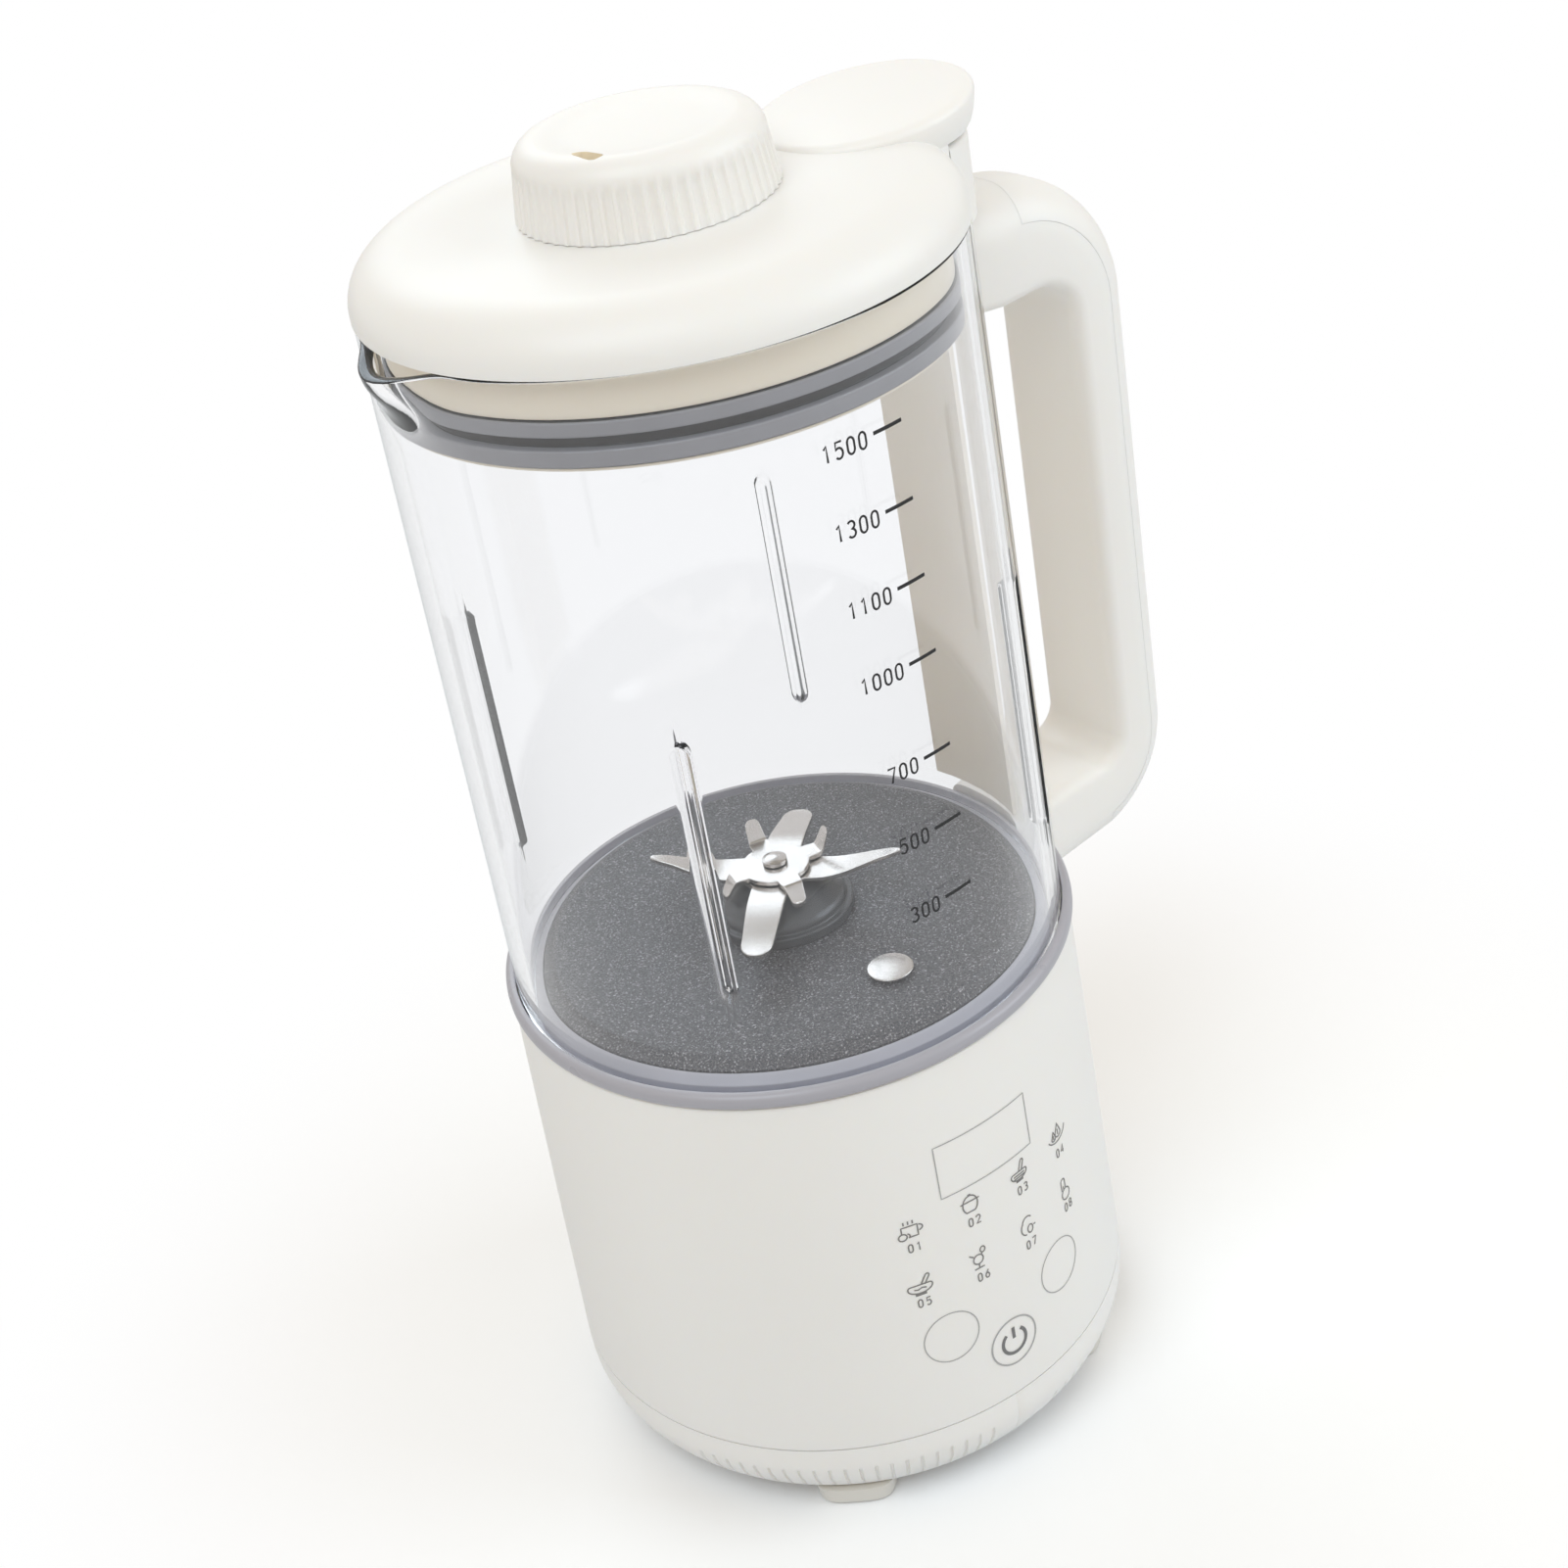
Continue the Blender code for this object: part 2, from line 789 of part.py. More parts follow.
def build_probe(parent, steel, rubber):
    """A flat button on a thin washer; its stem passes down through the plate."""
    place = (*polar(probe_place_radius, probe_angle_degrees), 0)
    washer_top = plate_top + gap + probe_seal_height
    seat = washer_top + gap
    low = plate_under - probe_stem_length
    dome_radius_share, dome_height_share = probe_dome_shares
    button = [
        (0, low),
        (probe_stem_radius, low),
        (probe_stem_radius, seat),
        (probe_radius, seat),
        (probe_radius, seat + probe_height),
        (probe_radius * dome_radius_share, seat + probe_height + probe_dome * dome_height_share),
        (0, seat + probe_height + probe_dome),
    ]
    settle("temperature_probe", placed(turned(button, small_steps), 0, place), steel, parent)
    washer = sleeve(probe_stem_radius + gap, probe_seal_radius, plate_top + gap, washer_top)
    settle("probe_seal", placed(washer, 0, place), rubber, parent)


def build_heating_element(parent, look):
    """A sheathed tube bent round under the plate, with two cold legs turned down."""
    height = plate_under - gap - element_tube_radius
    half = element_sweep_degrees / 2
    path = []
    for step in range(element_bends + 1):
        degrees = 180 - half + element_sweep_degrees * step / element_bends
        path.append((*polar(element_radius, degrees), height))
    bend = math.degrees(element_leg_bend / element_radius)
    first = (*polar(element_radius, 180 - half - bend), height - element_leg_bend)
    last = (*polar(element_radius, 180 + half + bend), height - element_leg_bend)
    foot = height - element_leg
    path = [(first[0], first[1], foot), first, *path, last, (last[0], last[1], foot)]
    curve = bpy.data.curves.new("heating_element", "CURVE")
    curve.dimensions = "3D"
    curve.bevel_depth = element_tube_radius
    curve.bevel_resolution = 1
    curve.use_fill_caps = True
    line = curve.splines.new("POLY")
    line.points.add(len(path) - 1)
    for point, place in zip(line.points, path):
        point.co = (*place, 1)
    made = bpy.data.objects.new("heating_element", curve)
    curve.materials.append(look)
    bpy.context.scene.collection.objects.link(made)
    made.parent = parent


def build_cutout(parent, look):
    """The bimetal overheat cut-out, pressed to the underside of the plate."""
    top = plate_under - gap
    place = polar(cutout_place_radius, 90)
    outline = [
        (0, top),
        (cutout_cap_radius, top),
        (cutout_radius, top - cutout_ear_thickness),
        (cutout_radius, top - cutout_height),
        (0, top - cutout_height),
    ]
    cutout = settle("overheat_cutout", placed(turned(outline, small_steps), 0, (*place, 0)), look, parent)
    ears = block(
        (-cutout_ear_length / 2, place[1] - cutout_ear_width / 2, top - cutout_ear_thickness * 2),
        (cutout_ear_length / 2, place[1] + cutout_ear_width / 2, top - cutout_ear_thickness),
    )
    join(cutout, ears)


def angle_between(first, second):
    """The least angle between two directions, in degrees."""
    return abs((first - second + 180) % 360 - 180)


def rib_share(degrees, height):
    """How deep the wall is pressed in at a place, from 0 to 1."""
    turn = min(angle_between(degrees, rib) for rib in rib_angles)
    across = smooth_share((rib_half_degrees - turn) / rib_half_degrees * rib_steepness_share)
    above = height - (deck + rib_bottom)
    below = (deck + rib_top) - height
    return across * smooth_share(above / rib_end) * smooth_share(below / rib_end)


def spout_share(degrees, height):
    """How far the wall leans out into the spout, from 0 to 1."""
    across = smooth_share((spout_half_degrees - angle_between(degrees, 180)) / spout_half_degrees)
    rise = (height - (rim_height - spout_depth)) / spout_depth
    return across * smooth_share(rise) ** spout_curve_share


def jug_point(degrees, height, inset):
    """A point of the jug wall, outside (no inset) or inside (inset by the wall)."""
    lean = spout_share(degrees, height)
    radius = jug_radius(height) + spout_reach * lean - inset
    radius -= rib_depth * rib_share(degrees, height)
    return (*polar(radius, degrees), height - spout_drop * lean)


def jug_angles():
    """Angles of the wall's upright lines: close together at the ribs and the spout, wide elsewhere."""
    angles = {180}
    for rib in rib_angles:
        angles.update(round(rib + share * rib_half_degrees, 4) for share in rib_line_shares)
    for share in spout_line_shares:
        angles.add(round(180 + share * spout_half_degrees, 4))
        angles.add(round(180 - share * spout_half_degrees, 4))
    fixed = sorted(angles)
    filled = []
    for start, end in zip(fixed, fixed[1:] + [fixed[0] + 360]):
        parts = max(1, math.ceil((end - start) / plain_line_degrees))
        filled.extend(start + (end - start) * part / parts for part in range(parts))
    return filled


def build_jug(parent, look):
    """One glass wall with a beak spout, a round rim and four ribs pressed inward."""
    ribs_low = deck + rib_bottom
    ribs_high = deck + rib_top
    heights = [
        jug_bottom,
        ribs_low,
        ribs_low + rib_end / 2,
        ribs_low + rib_end,
        ribs_high - rib_end,
        ribs_high - rib_end / 2,
        ribs_high,
        *(rim_height - spout_depth * share for share in spout_height_shares),
        rim_height - rim_round,
    ]
    angles = jug_angles()
    outside = [[jug_point(turn, height, 0) for turn in angles] for height in heights]
    crown = [[jug_point(turn, rim_height, share * jug_wall) for turn in angles] for share in crown_shares]
    inside = [[jug_point(turn, height, jug_wall) for turn in angles] for height in reversed(heights)]
    rings = outside + crown + inside
    mesh = bmesh.new()
    loops = [[mesh.verts.new(point) for point in ring] for ring in rings]
    for lower, upper in zip(loops, loops[1:] + loops[:1]):
        stitch(mesh, lower, upper)
    settle("jug_glass", mesh, look, parent)


def build_shaft_housing(parent, look):
    """The stepped boss that stands on the plate; its stem passes down through plate and motor bracket."""
    base = plate_top + gap
    stem = plate_stem_hole_radius - gap
    seal_top = plate_top + housing_body_height + gap
    shoulder = base + housing_body_height
    flange_top = base + housing_flange_height
    round_radius_share, round_height_share = housing_round_shares
    outline = [
        (housing_flange_radius, base),
        (housing_flange_radius, flange_top - housing_edge),
        (housing_flange_radius - housing_edge, flange_top),
        (housing_body_radius, flange_top),
        (housing_body_radius - housing_edge, shoulder),
        (
            mix(housing_body_radius, housing_top_radius, round_radius_share),
            mix(shoulder, housing_top, round_height_share),
        ),
        (housing_top_radius, housing_top),
        (shaft_radius + running_gap, housing_top),
        (shaft_radius + running_gap, seal_top),
        (housing_bore_radius, seal_top),
        (housing_bore_radius, deck - housing_depth),
        (stem, deck - housing_depth),
        (stem, base),
    ]
    settle("shaft_housing", turned(outline, middle_steps), look, parent)


def sleeve(inner, outer, bottom, top, steps=small_steps):
    """A plain ring."""
    return turned([(inner, bottom), (outer, bottom), (outer, top), (inner, top)], steps)


def build_bearings_and_seal(parent, steel, rubber):
    bore = shaft_radius + gap
    seal_top = plate_top + housing_body_height
    seal_low = seal_top - seal_height
    seal = [
        (bore + gap, seal_low),
        (bearing_radius, seal_low),
        (bearing_radius, seal_top),
        (bore, seal_top),
        (bore, seal_top - seal_lip_height),
    ]
    settle("shaft_seal", turned(seal, small_steps), rubber, parent)
    top = seal_low - gap
    settle("upper_bearing", sleeve(bore, bearing_radius, top - bearing_height, top), steel, parent)
    low = lower_bracket_bottom + lower_cup_wall / 2
    bearing = sleeve(shaft_foot_radius + gap, lower_bearing_radius, low, low + lower_bearing_height)
    settle("lower_bearing", bearing, steel, parent)


def build_ring_nut(parent, look):
    """Screwed on the housing's stem, it draws the motor bracket up to the plate."""
    top = bracket_top - bracket_thickness - gap
    low = top - ring_nut_height
    inner = plate_stem_hole_radius
    outline = [
        (inner, low),
        (ring_nut_radius - ring_nut_edge, low),
        (ring_nut_radius, low + ring_nut_edge),
        (ring_nut_radius, top),
        (inner, top),
    ]
    settle("housing_ring_nut", turned(outline, middle_steps), look, parent)


def cross_outline():
    """A disc with four arms toward the deck's posts."""
    half = bracket_arm_width / 2
    reach = bracket_post_place + bracket_post_radius + bracket_arm_end
    root_degrees = math.degrees(math.asin(half / bracket_radius))
    tip_degrees = math.degrees(math.atan(half / reach))
    outline = []
    for middle in bracket_angles:
        outline.append(polar(bracket_radius, middle - root_degrees))
        outline.append(polar(math.hypot(reach, half), middle - tip_degrees))
        outline.append(polar(math.hypot(reach, half), middle + tip_degrees))
        outline.append(polar(bracket_radius, middle + root_degrees))
        outline += [polar(bracket_radius, middle + turn) for turn in bracket_rim_turns]
    return outline


def build_upper_bracket(parent, look):
    """A cross of four arms hung from the deck by posts, with four short legs down to the stator."""
    low = bracket_top - bracket_thickness
    bracket = settle("upper_motor_bracket", prism(cross_outline(), low, bracket_top), look, parent)
    cut(bracket, post((0, 0), plate_stem_hole_radius, low - overrun, bracket_top + overrun, middle_steps))
    posts = []
    legs = []
    middle = (low + bracket_top) / 2
    for degrees in bracket_angles:
        place = polar(bracket_post_place, degrees)
        posts.append(post(place, bracket_post_radius, middle, deck - deck_thickness - gap, rod_steps))
        place = polar(stator_leg_place, degrees)
        legs.append(post(place, stator_leg_radius, stator_top + gap, middle, rod_steps))
    join(bracket, merged(*posts))
    join(bracket, merged(*legs))


def rounded_square(half, corner, per_corner=4):
    """A square outline with round corners."""
    outline = []
    for quarter in range(4):
        start = 90 * quarter
        centre = Vector((half - corner, half - corner))
        centre.rotate(Matrix.Rotation(math.radians(start), 2))
        for step in range(per_corner + 1):
            x, y = polar(corner, start + 90 * step / per_corner)
            outline.append((centre.x + x, centre.y + y))
    return outline


def build_stator(parent, steel, copper):
    outline = rounded_square(stator_half_width, stator_corner)
    stator = settle("stator_core", prism(outline, stator_bottom, stator_top), steel, parent)
    cut(stator, post((0, 0), stator_bore_radius, stator_bottom - overrun, stator_top + overrun, middle_steps))
    for name, start, end in (
        ("field_winding_upper", stator_top + gap, stator_top + gap + field_winding_height),
        ("field_winding_lower", stator_bottom - gap, stator_bottom - gap - field_winding_height),
    ):
        outline = [(stator_bore_radius, start)]
        for out, up in field_round_shares:
            outline.append((stator_bore_radius + field_winding_thickness * out, mix(start, end, up)))
        settle(name, turned(outline, small_steps), copper, parent)


def build_armature(parent, steel, copper, winding_look):
    """Slotted core, its end windings and the commutator, all on the shaft."""
    bore = shaft_radius + gap
    outer = stator_bore_radius - air_gap
    outline = []
    pitch = 360 / core_slot_count
    half_slot = pitch * core_slot_share / 2
    half_tooth = pitch / 2 - half_slot * core_mouth_share
    for slot in range(core_slot_count):
        centre = slot * pitch
        outline.append(polar(outer, centre - half_tooth))
        outline.append(polar(outer, centre + half_tooth))
        outline.append(polar(outer - core_slot_depth, centre + pitch / 2 - half_slot))
        outline.append(polar(outer - core_slot_depth, centre + pitch / 2 + half_slot))
    core = settle("armature_core", prism(outline, stator_bottom, stator_top), steel, parent)
    cut(core, post((0, 0), bore, stator_bottom - overrun, stator_top + overrun))
    height_share, radius_share = winding_round_shares
    for name, start, end in (
        ("armature_winding_upper", stator_top + gap, stator_top + gap + winding_height),
        ("armature_winding_lower", stator_bottom - gap, stator_bottom - gap - winding_height),
    ):
        outline = [
            (bore, start),
            (winding_radius, start),
            (winding_radius, mix(start, end, height_share)),
            (winding_radius * radius_share, end),
            (bore, end),
        ]
        settle(name, turned(outline, small_steps), winding_look, parent)
    commutator = sleeve(bore, commutator_radius, commutator_bottom, commutator_top)
    settle("commutator", commutator, copper, parent)


def build_lower_bracket(parent, look):
    """A bar under the commutator with the bearing cup, and a leg up to each side of the stator."""
    top = lower_bracket_top
    low = top - lower_bracket_thickness
    middle = (low + top) / 2
    reach = stator_half_width
    half = lower_bracket_half_width
    bracket = settle("lower_motor_bracket", block((-half, -reach, low), (half, reach, top)), look, parent)
    cup = lower_bearing_radius + gap + lower_cup_wall
    join(bracket, post((0, 0), cup, lower_bracket_bottom, middle, middle_steps))
    leg_top = stator_bottom - gap
    inner = reach - lower_bracket_thickness
    front = block((-half, -reach, middle), (half, -inner, leg_top))
    back = block((-half, inner, middle), (half, reach, leg_top))
    join(bracket, merged(front, back))
    seat = lower_bracket_bottom + lower_cup_wall / 2 - gap
    well = [
        (0, lower_bracket_bottom - overrun),
        (shaft_foot_radius + running_gap, lower_bracket_bottom - overrun),
        (shaft_foot_radius + running_gap, seat),
        (lower_bearing_radius + gap, seat),
        (lower_bearing_radius + gap, top + overrun),
        (0, top + overrun),
    ]
    cut(bracket, turned(well, middle_steps))


def build_brushes(parent, brass, carbon):
    """Two carbon blocks in brass boxes that stand on the lower bracket, at the front and the back."""
    centre = (commutator_bottom + commutator_top) / 2
    top = centre + brush_height / 2
    low = centre - brush_height / 2
    half = brush_width / 2
    face = commutator_radius + gap
    wall = holder_wall + gap
    start = face + brush_free_length
    end = start + holder_length
    for name, turn in (("front", 180), ("back", 0)):
        brush = block((-half, face, low), (half, face + brush_length, top))
        settle(f"carbon_brush_{name}", placed(brush, turn), carbon, parent, smooth=False)
        box = block((-half - wall, start, lower_bracket_top + gap), (half + wall, end, top + wall))
        holder = settle(f"brush_holder_{name}", placed(box, turn), brass, parent, smooth=False)
        hollow = block((-half - gap, start - overrun, low - gap), (half + gap, end - holder_wall, top + gap))
        cut(holder, placed(hollow, turn))


def build_shaft(parent, look):
    """Stepped at the lower bearing and at the blades, which sit on its upper shoulder."""
    bottom = fan_top - fan_height - gap
    shoulder = long_blade_height - gap
    outline = [
        (0, bottom),
        (shaft_foot_radius, bottom),
        (shaft_foot_radius, lower_bracket_top),
        (shaft_radius, lower_bracket_top),
        (shaft_radius, shoulder),
        (shaft_neck_radius, shoulder),
        (shaft_neck_radius, shaft_top),
        (0, shaft_top),
    ]
    settle("motor_shaft", turned(outline, small_steps), look, parent)


def build_fan(parent, look):
    """A disc with a hub and straight blades below it, on the foot of the shaft."""
    bottom = fan_top - fan_height
    bore = shaft_foot_radius + gap
    disc = fan_top - fan_disc_thickness
    outline = [
        (bore, bottom),
        (fan_hub_radius, bottom),
        (fan_hub_radius, disc),
        (fan_radius, disc),
        (fan_radius, fan_top),
        (bore, fan_top),
    ]
    fan = settle("cooling_fan", turned(outline, fan_steps), look, parent)
    half = fan_blade_thickness / 2
    blades = []
    for number in range(fan_blade_count):
        blade = block((fan_hub_radius + gap, -half, bottom), (fan_radius - gap, half, (disc + fan_top) / 2))
        blades.append(placed(blade, 360 * number / fan_blade_count))
    join(fan, merged(*blades))


def blade_cross(hub_radius, root_width, tip_width, reach, rises, shares, first_degrees, height):
    """A bored hub with four arms: each bends toward its own rise and narrows to a blunt tip.

    The shares give, from root to tip, the way along the arm, from root to tip width, and up its rise.
    """
    mesh = bmesh.new()
    bore = shaft_neck_radius + gap
    half = math.degrees(math.asin(root_width / 2 / hub_radius))
    turns = []
    for number in range(len(rises)):
        middle = first_degrees + 90 * number
        turns += [middle - half, middle, middle + half, middle + 45]
    inner = [mesh.verts.new((*polar(bore, turn), height)) for turn in turns]
    outer = [mesh.verts.new((*polar(hub_radius, turn), height)) for turn in turns]
    count = len(turns)
    for index in range(count):
        after = (index + 1) % count
        mesh.faces.new((inner[index], outer[index], outer[after], inner[after]))
    for number, rise in enumerate(rises):
        middle = first_degrees + 90 * number
        along = Vector(polar(1, middle))
        across = Vector(polar(1, middle + 90))
        edge = outer[number * 4 : number * 4 + 3]
        for way_share, width_share, rise_share in shares:
            centre = along * mix(hub_radius, reach, way_share)
            side = across * mix(root_width, tip_width, width_share) / 2
            level = height + rise * rise_share
            after = (mesh.verts.new((*(centre - side), level)), mesh.verts.new((*(centre + side), level)))
            mesh.faces.new([*edge, after[1], after[0]])
            edge = after
    sheet = mesh.verts[:] + mesh.edges[:] + mesh.faces[:]
    drawn = bmesh.ops.extrude_face_region(mesh, geom=sheet, use_keep_orig=True)
    raised = [item for item in drawn["geom"] if isinstance(item, bmesh.types.BMVert)]
    bmesh.ops.translate(mesh, vec=(0, 0, blade_thickness), verts=raised)
    return mesh


def build_blades(parent, steel):
    """The long cross has two arms bent up and two bent down; the short one lies on it, turned between them."""
    rises = (-long_blade_fall, long_blade_lift, -long_blade_fall, long_blade_lift)
    long_cross = blade_cross(
        long_hub_radius, long_root_width, long_tip_width, long_blade_reach, rises, long_arm_shares,
        long_first_degrees, long_blade_height,
    )
    settle("long_blades", long_cross, steel, parent)
    rises = (short_blade_lift, -short_blade_fall, -short_blade_fall, short_blade_lift)
    short_cross = blade_cross(
        short_hub_radius, short_root_width, short_tip_width, short_blade_reach, rises, short_arm_shares,
        short_first_degrees, short_blade_height,
    )
    settle("short_blades", short_cross, steel, parent)


def build_blade_nut(parent, look):
    """A low domed cap nut, closed over the shaft's neck."""
    bore = shaft_neck_radius + gap
    top = nut_height + nut_flat_height
    outline = [
        (0, shaft_top + gap),
        (bore, shaft_top + gap),
        (bore, nut_height),
        (nut_radius, nut_height),
        (nut_radius, top),
    ]
    outline += [(nut_radius * out, top + nut_dome_height * up) for out, up in nut_dome_shares]
    outline.append((0, top + nut_dome_height))
    settle("blade_nut", turned(outline, small_steps), look, parent)


def build_control_electronics(parent, board_look, dark, film_look):
    """Behind the panel: the touch film on the wall, the display, and the board that carries it."""
    wall_top = shell_radius(deck) - base_wall
    board_front = -math.sqrt((wall_top - gap) ** 2 - control_board_half_width**2)
    board = block(
        (-control_board_half_width, board_front, seam_height + control_board_rise),
        (control_board_half_width, board_front + board_thickness, deck - control_board_top_drop),
    )
    settle("control_board", board, board_look, parent, smooth=False)
    middle = deck - display_drop
    glass_y = -math.sqrt((wall_top - gap) ** 2 - (display_width / 2) ** 2)
    display = block(
        (-display_width / 2, glass_y, middle - display_height / 2),
        (display_width / 2, board_front - gap, middle + display_height / 2),
    )
    settle("display_module", display, dark, parent, smooth=False)
    top = deck - touch_film_top_drop
    turns = [
        -90 + touch_film_half_degrees * (2 * step / touch_film_bends - 1) for step in range(touch_film_bends + 1)
    ]
    rings = []
    for height in (top - touch_film_height, top):
        outer = shell_radius(height) - base_wall - gap
        ring = [(*polar(outer, turn), height) for turn in turns]
        ring += [(*polar(outer - touch_film_thickness, turn), height) for turn in reversed(turns)]
        rings.append(ring)
    settle("touch_film", lofted(rings), film_look, parent)


def build_power_electronics(parent, board_look, dark, blue):
    """At the back: the power board with its relay, capacitor and transformer on the side of the motor."""
    wall_top = shell_radius(deck) - base_wall
    back = math.sqrt((wall_top - gap) ** 2 - power_board_half_width**2)
    front = back - board_thickness
    top = deck - power_board_top_drop
    board = block(
        (-power_board_half_width, front, top - power_board_height),
        (power_board_half_width, back, top),
    )
    settle("power_board", board, board_look, parent, smooth=False)
    face = front - gap
    level = top - power_board_height / 2
    centre = power_board_half_width - component_inset
    for name, x, size, look in (("relay", -centre, relay_size, blue), ("transformer", centre, transformer_size, dark)):
        width, depth, height = size
        case = block(
            (x - width / 2, face - depth, level - height / 2),
            (x + width / 2, face, level + height / 2),
        )
        settle(name, case, look, parent, smooth=False)
    capacitor = post((0, 0), capacitor_radius, 0, capacitor_length, inner_steps)
    turn = Matrix.Rotation(math.radians(90), 4, "X")
    bmesh.ops.transform(capacitor, matrix=Matrix.Translation((0, face, level)) @ turn, verts=capacitor.verts)
    settle("filter_capacitor", capacitor, dark, parent)


def lid_outline(inset, turns):
    """The lid's dome from its lower edge up and in to the hole, or its inside for an inset of the wall."""
    top = lid_top - inset
    edge = lid_bottom + lid_side_height
    side = lid_radius - inset
    run = lid_round - inset
    points = [(side, lid_bottom), (side, edge)]
    for degrees in turns:
        turn = math.radians(degrees)
        points.append((side - run * (1 - math.cos(turn)), mix(edge, top, math.sin(turn))))
    points.append((lid_hole_radius, top))
    return points


def tab_ring(radius, level):
    """One level of the tab: a circle that lies tilted, higher at its outer end."""
    ring = []
    for step in range(tab_steps):
        x, y = polar(radius, 360 * step / tab_steps)
        tilt = tab_tilt_share * (x + tab_radius) * smooth_share((level + tab_bottom_drop) / tab_bottom_drop)
        ring.append((tab_centre + x, y, lid_top + level + tilt))
    return ring


def build_lid(parent, look):
    """A low dome on the rim, fused with the round tab that lies over the handle's switch block."""
    outline = lid_outline(0, lid_outer_turns) + lid_outline(lid_wall, lid_inner_turns)[::-1]
    lid = settle("lid_shell", turned(outline), look, parent)
    side_out_share, side_down_share = tab_side_shares
    rings = [
        tab_ring(tab_bottom_radius, -tab_bottom_drop),
        tab_ring(mix(tab_bottom_radius, tab_radius, side_out_share), -tab_bottom_drop * side_down_share),
    ]
    for in_share, up_share, down_share in tab_edge_shares:
        rings.append(tab_ring(tab_radius - tab_edge * in_share, tab_height * up_share - tab_edge * down_share))
    tab = guide("tab", lofted(rings))
    near = cap_radius + tab_cap_clearance
    middle = lid_top - lid_wall / 2
    side = lid_radius - lid_wall / 2
    far = tab_centre + tab_radius + overrun
    limit = [(near, middle), (side, middle), (side, lid_bottom), (far, lid_bottom), (far, cap_top), (near, cap_top)]
    combine(tab, guide("tab_limit", turned(limit)), "INTERSECT")
    combine(lid, tab, "UNION")
    pocket_top = tab_floor + gap + magnet_height + gap
    cut(lid, post((magnet_place, 0), magnet_radius + gap, lid_bottom, pocket_top))


def build_lid_magnet(parent, look):
    low = tab_floor + gap
    settle("lid_magnet", post((magnet_place, 0), magnet_radius, low, low + magnet_height), look, parent)


def tube_radius():
    return cap_seal_reach + gap + plug_wall


def build_lid_plug(parent, look):
    """The skirt inside the jug: a wall with a seat for the seal, and a floor with a hole for the filling tube."""
    seat = plug_radius - plug_seal_seat
    seat_low = plug_bottom + lid_seal_bottom
    seat_high = seat_low + gap + lid_seal_height + gap
    floor = plug_bottom + plug_wall
    lip_low = lid_bottom + gap
    lip_high = lip_low + plug_lip_thickness
    hole = tube_radius() + gap
    outline = [
        (hole, plug_bottom),
        (plug_radius, plug_bottom),
        (plug_radius, seat_low),
        (seat, seat_low),
        (seat, seat_high),
        (plug_radius, seat_high),
        (plug_radius, lip_low),
        (plug_radius + plug_rim_lip, lip_low),
        (plug_radius + plug_rim_lip, lip_high),
        (plug_radius - plug_wall, lip_high),
        (seat - plug_wall, seat_high),
        (seat - plug_wall, floor),
        (hole, floor),
    ]
    settle("lid_plug", turned(outline, hidden_steps), look, parent)


def build_filling_tube(parent, look):
    """The wall of the filling hole: it hangs by a flange on the plug's floor, and the cap's seal slides in it."""
    inner = cap_seal_reach + gap
    outer = tube_radius()
    top = lid_top - lid_wall - gap
    seat = plug_bottom + plug_wall + gap
    flange_top = seat + tube_flange_thickness
    outline = [
        (inner, plug_bottom),
        (outer, plug_bottom),
        (outer, seat),
        (outer + tube_flange, seat),
        (outer + tube_flange, flange_top),
        (outer, flange_top),
        (outer, top),
        (inner, top),
    ]
    settle("lid_filling_tube", turned(outline, middle_steps), look, parent)


def build_lid_seal(parent, look):
    """Grey silicone sleeve with two lips and a deep groove between them."""
    bottom = plug_bottom + lid_seal_bottom + gap
    top = bottom + lid_seal_height
    inner = plug_radius - plug_seal_seat + gap
    lip = jug_inner_mouth - lid_seal_clearance
    groove = lip - lid_seal_groove
    outline = [
        (inner, bottom),
        (lip, bottom),
        (lip, bottom + lid_seal_lower_lip),
        (groove, bottom + lid_seal_lower_lip),
        (groove, top - lid_seal_upper_lip),
        (lip, top - lid_seal_upper_lip),
        (lip, top),
        (inner, top),
    ]
    settle("lid_seal", turned(outline, hidden_steps), look, parent)


def ring_points(radius, height, steps, dip=0.0):
    """A level ring; with a dip, each second point lies deeper, which makes the grip ribs."""
    points = []
    for step in range(steps):
        depth = dip if step % 2 else 0.0
        points.append((*polar(radius - depth, 360 * step / steps), height))
    return points


def vent_outline():
    """A pointed slot: its shares run from its waist to one tip, and are mirrored for the other."""
    half_length = vent_hole_length / 2
    half_width = vent_hole_width / 2
    first = [(half_width * across, half_length * along) for across, along in vent_hole_shares]
    return first + [(-x, -y) for x, y in first]


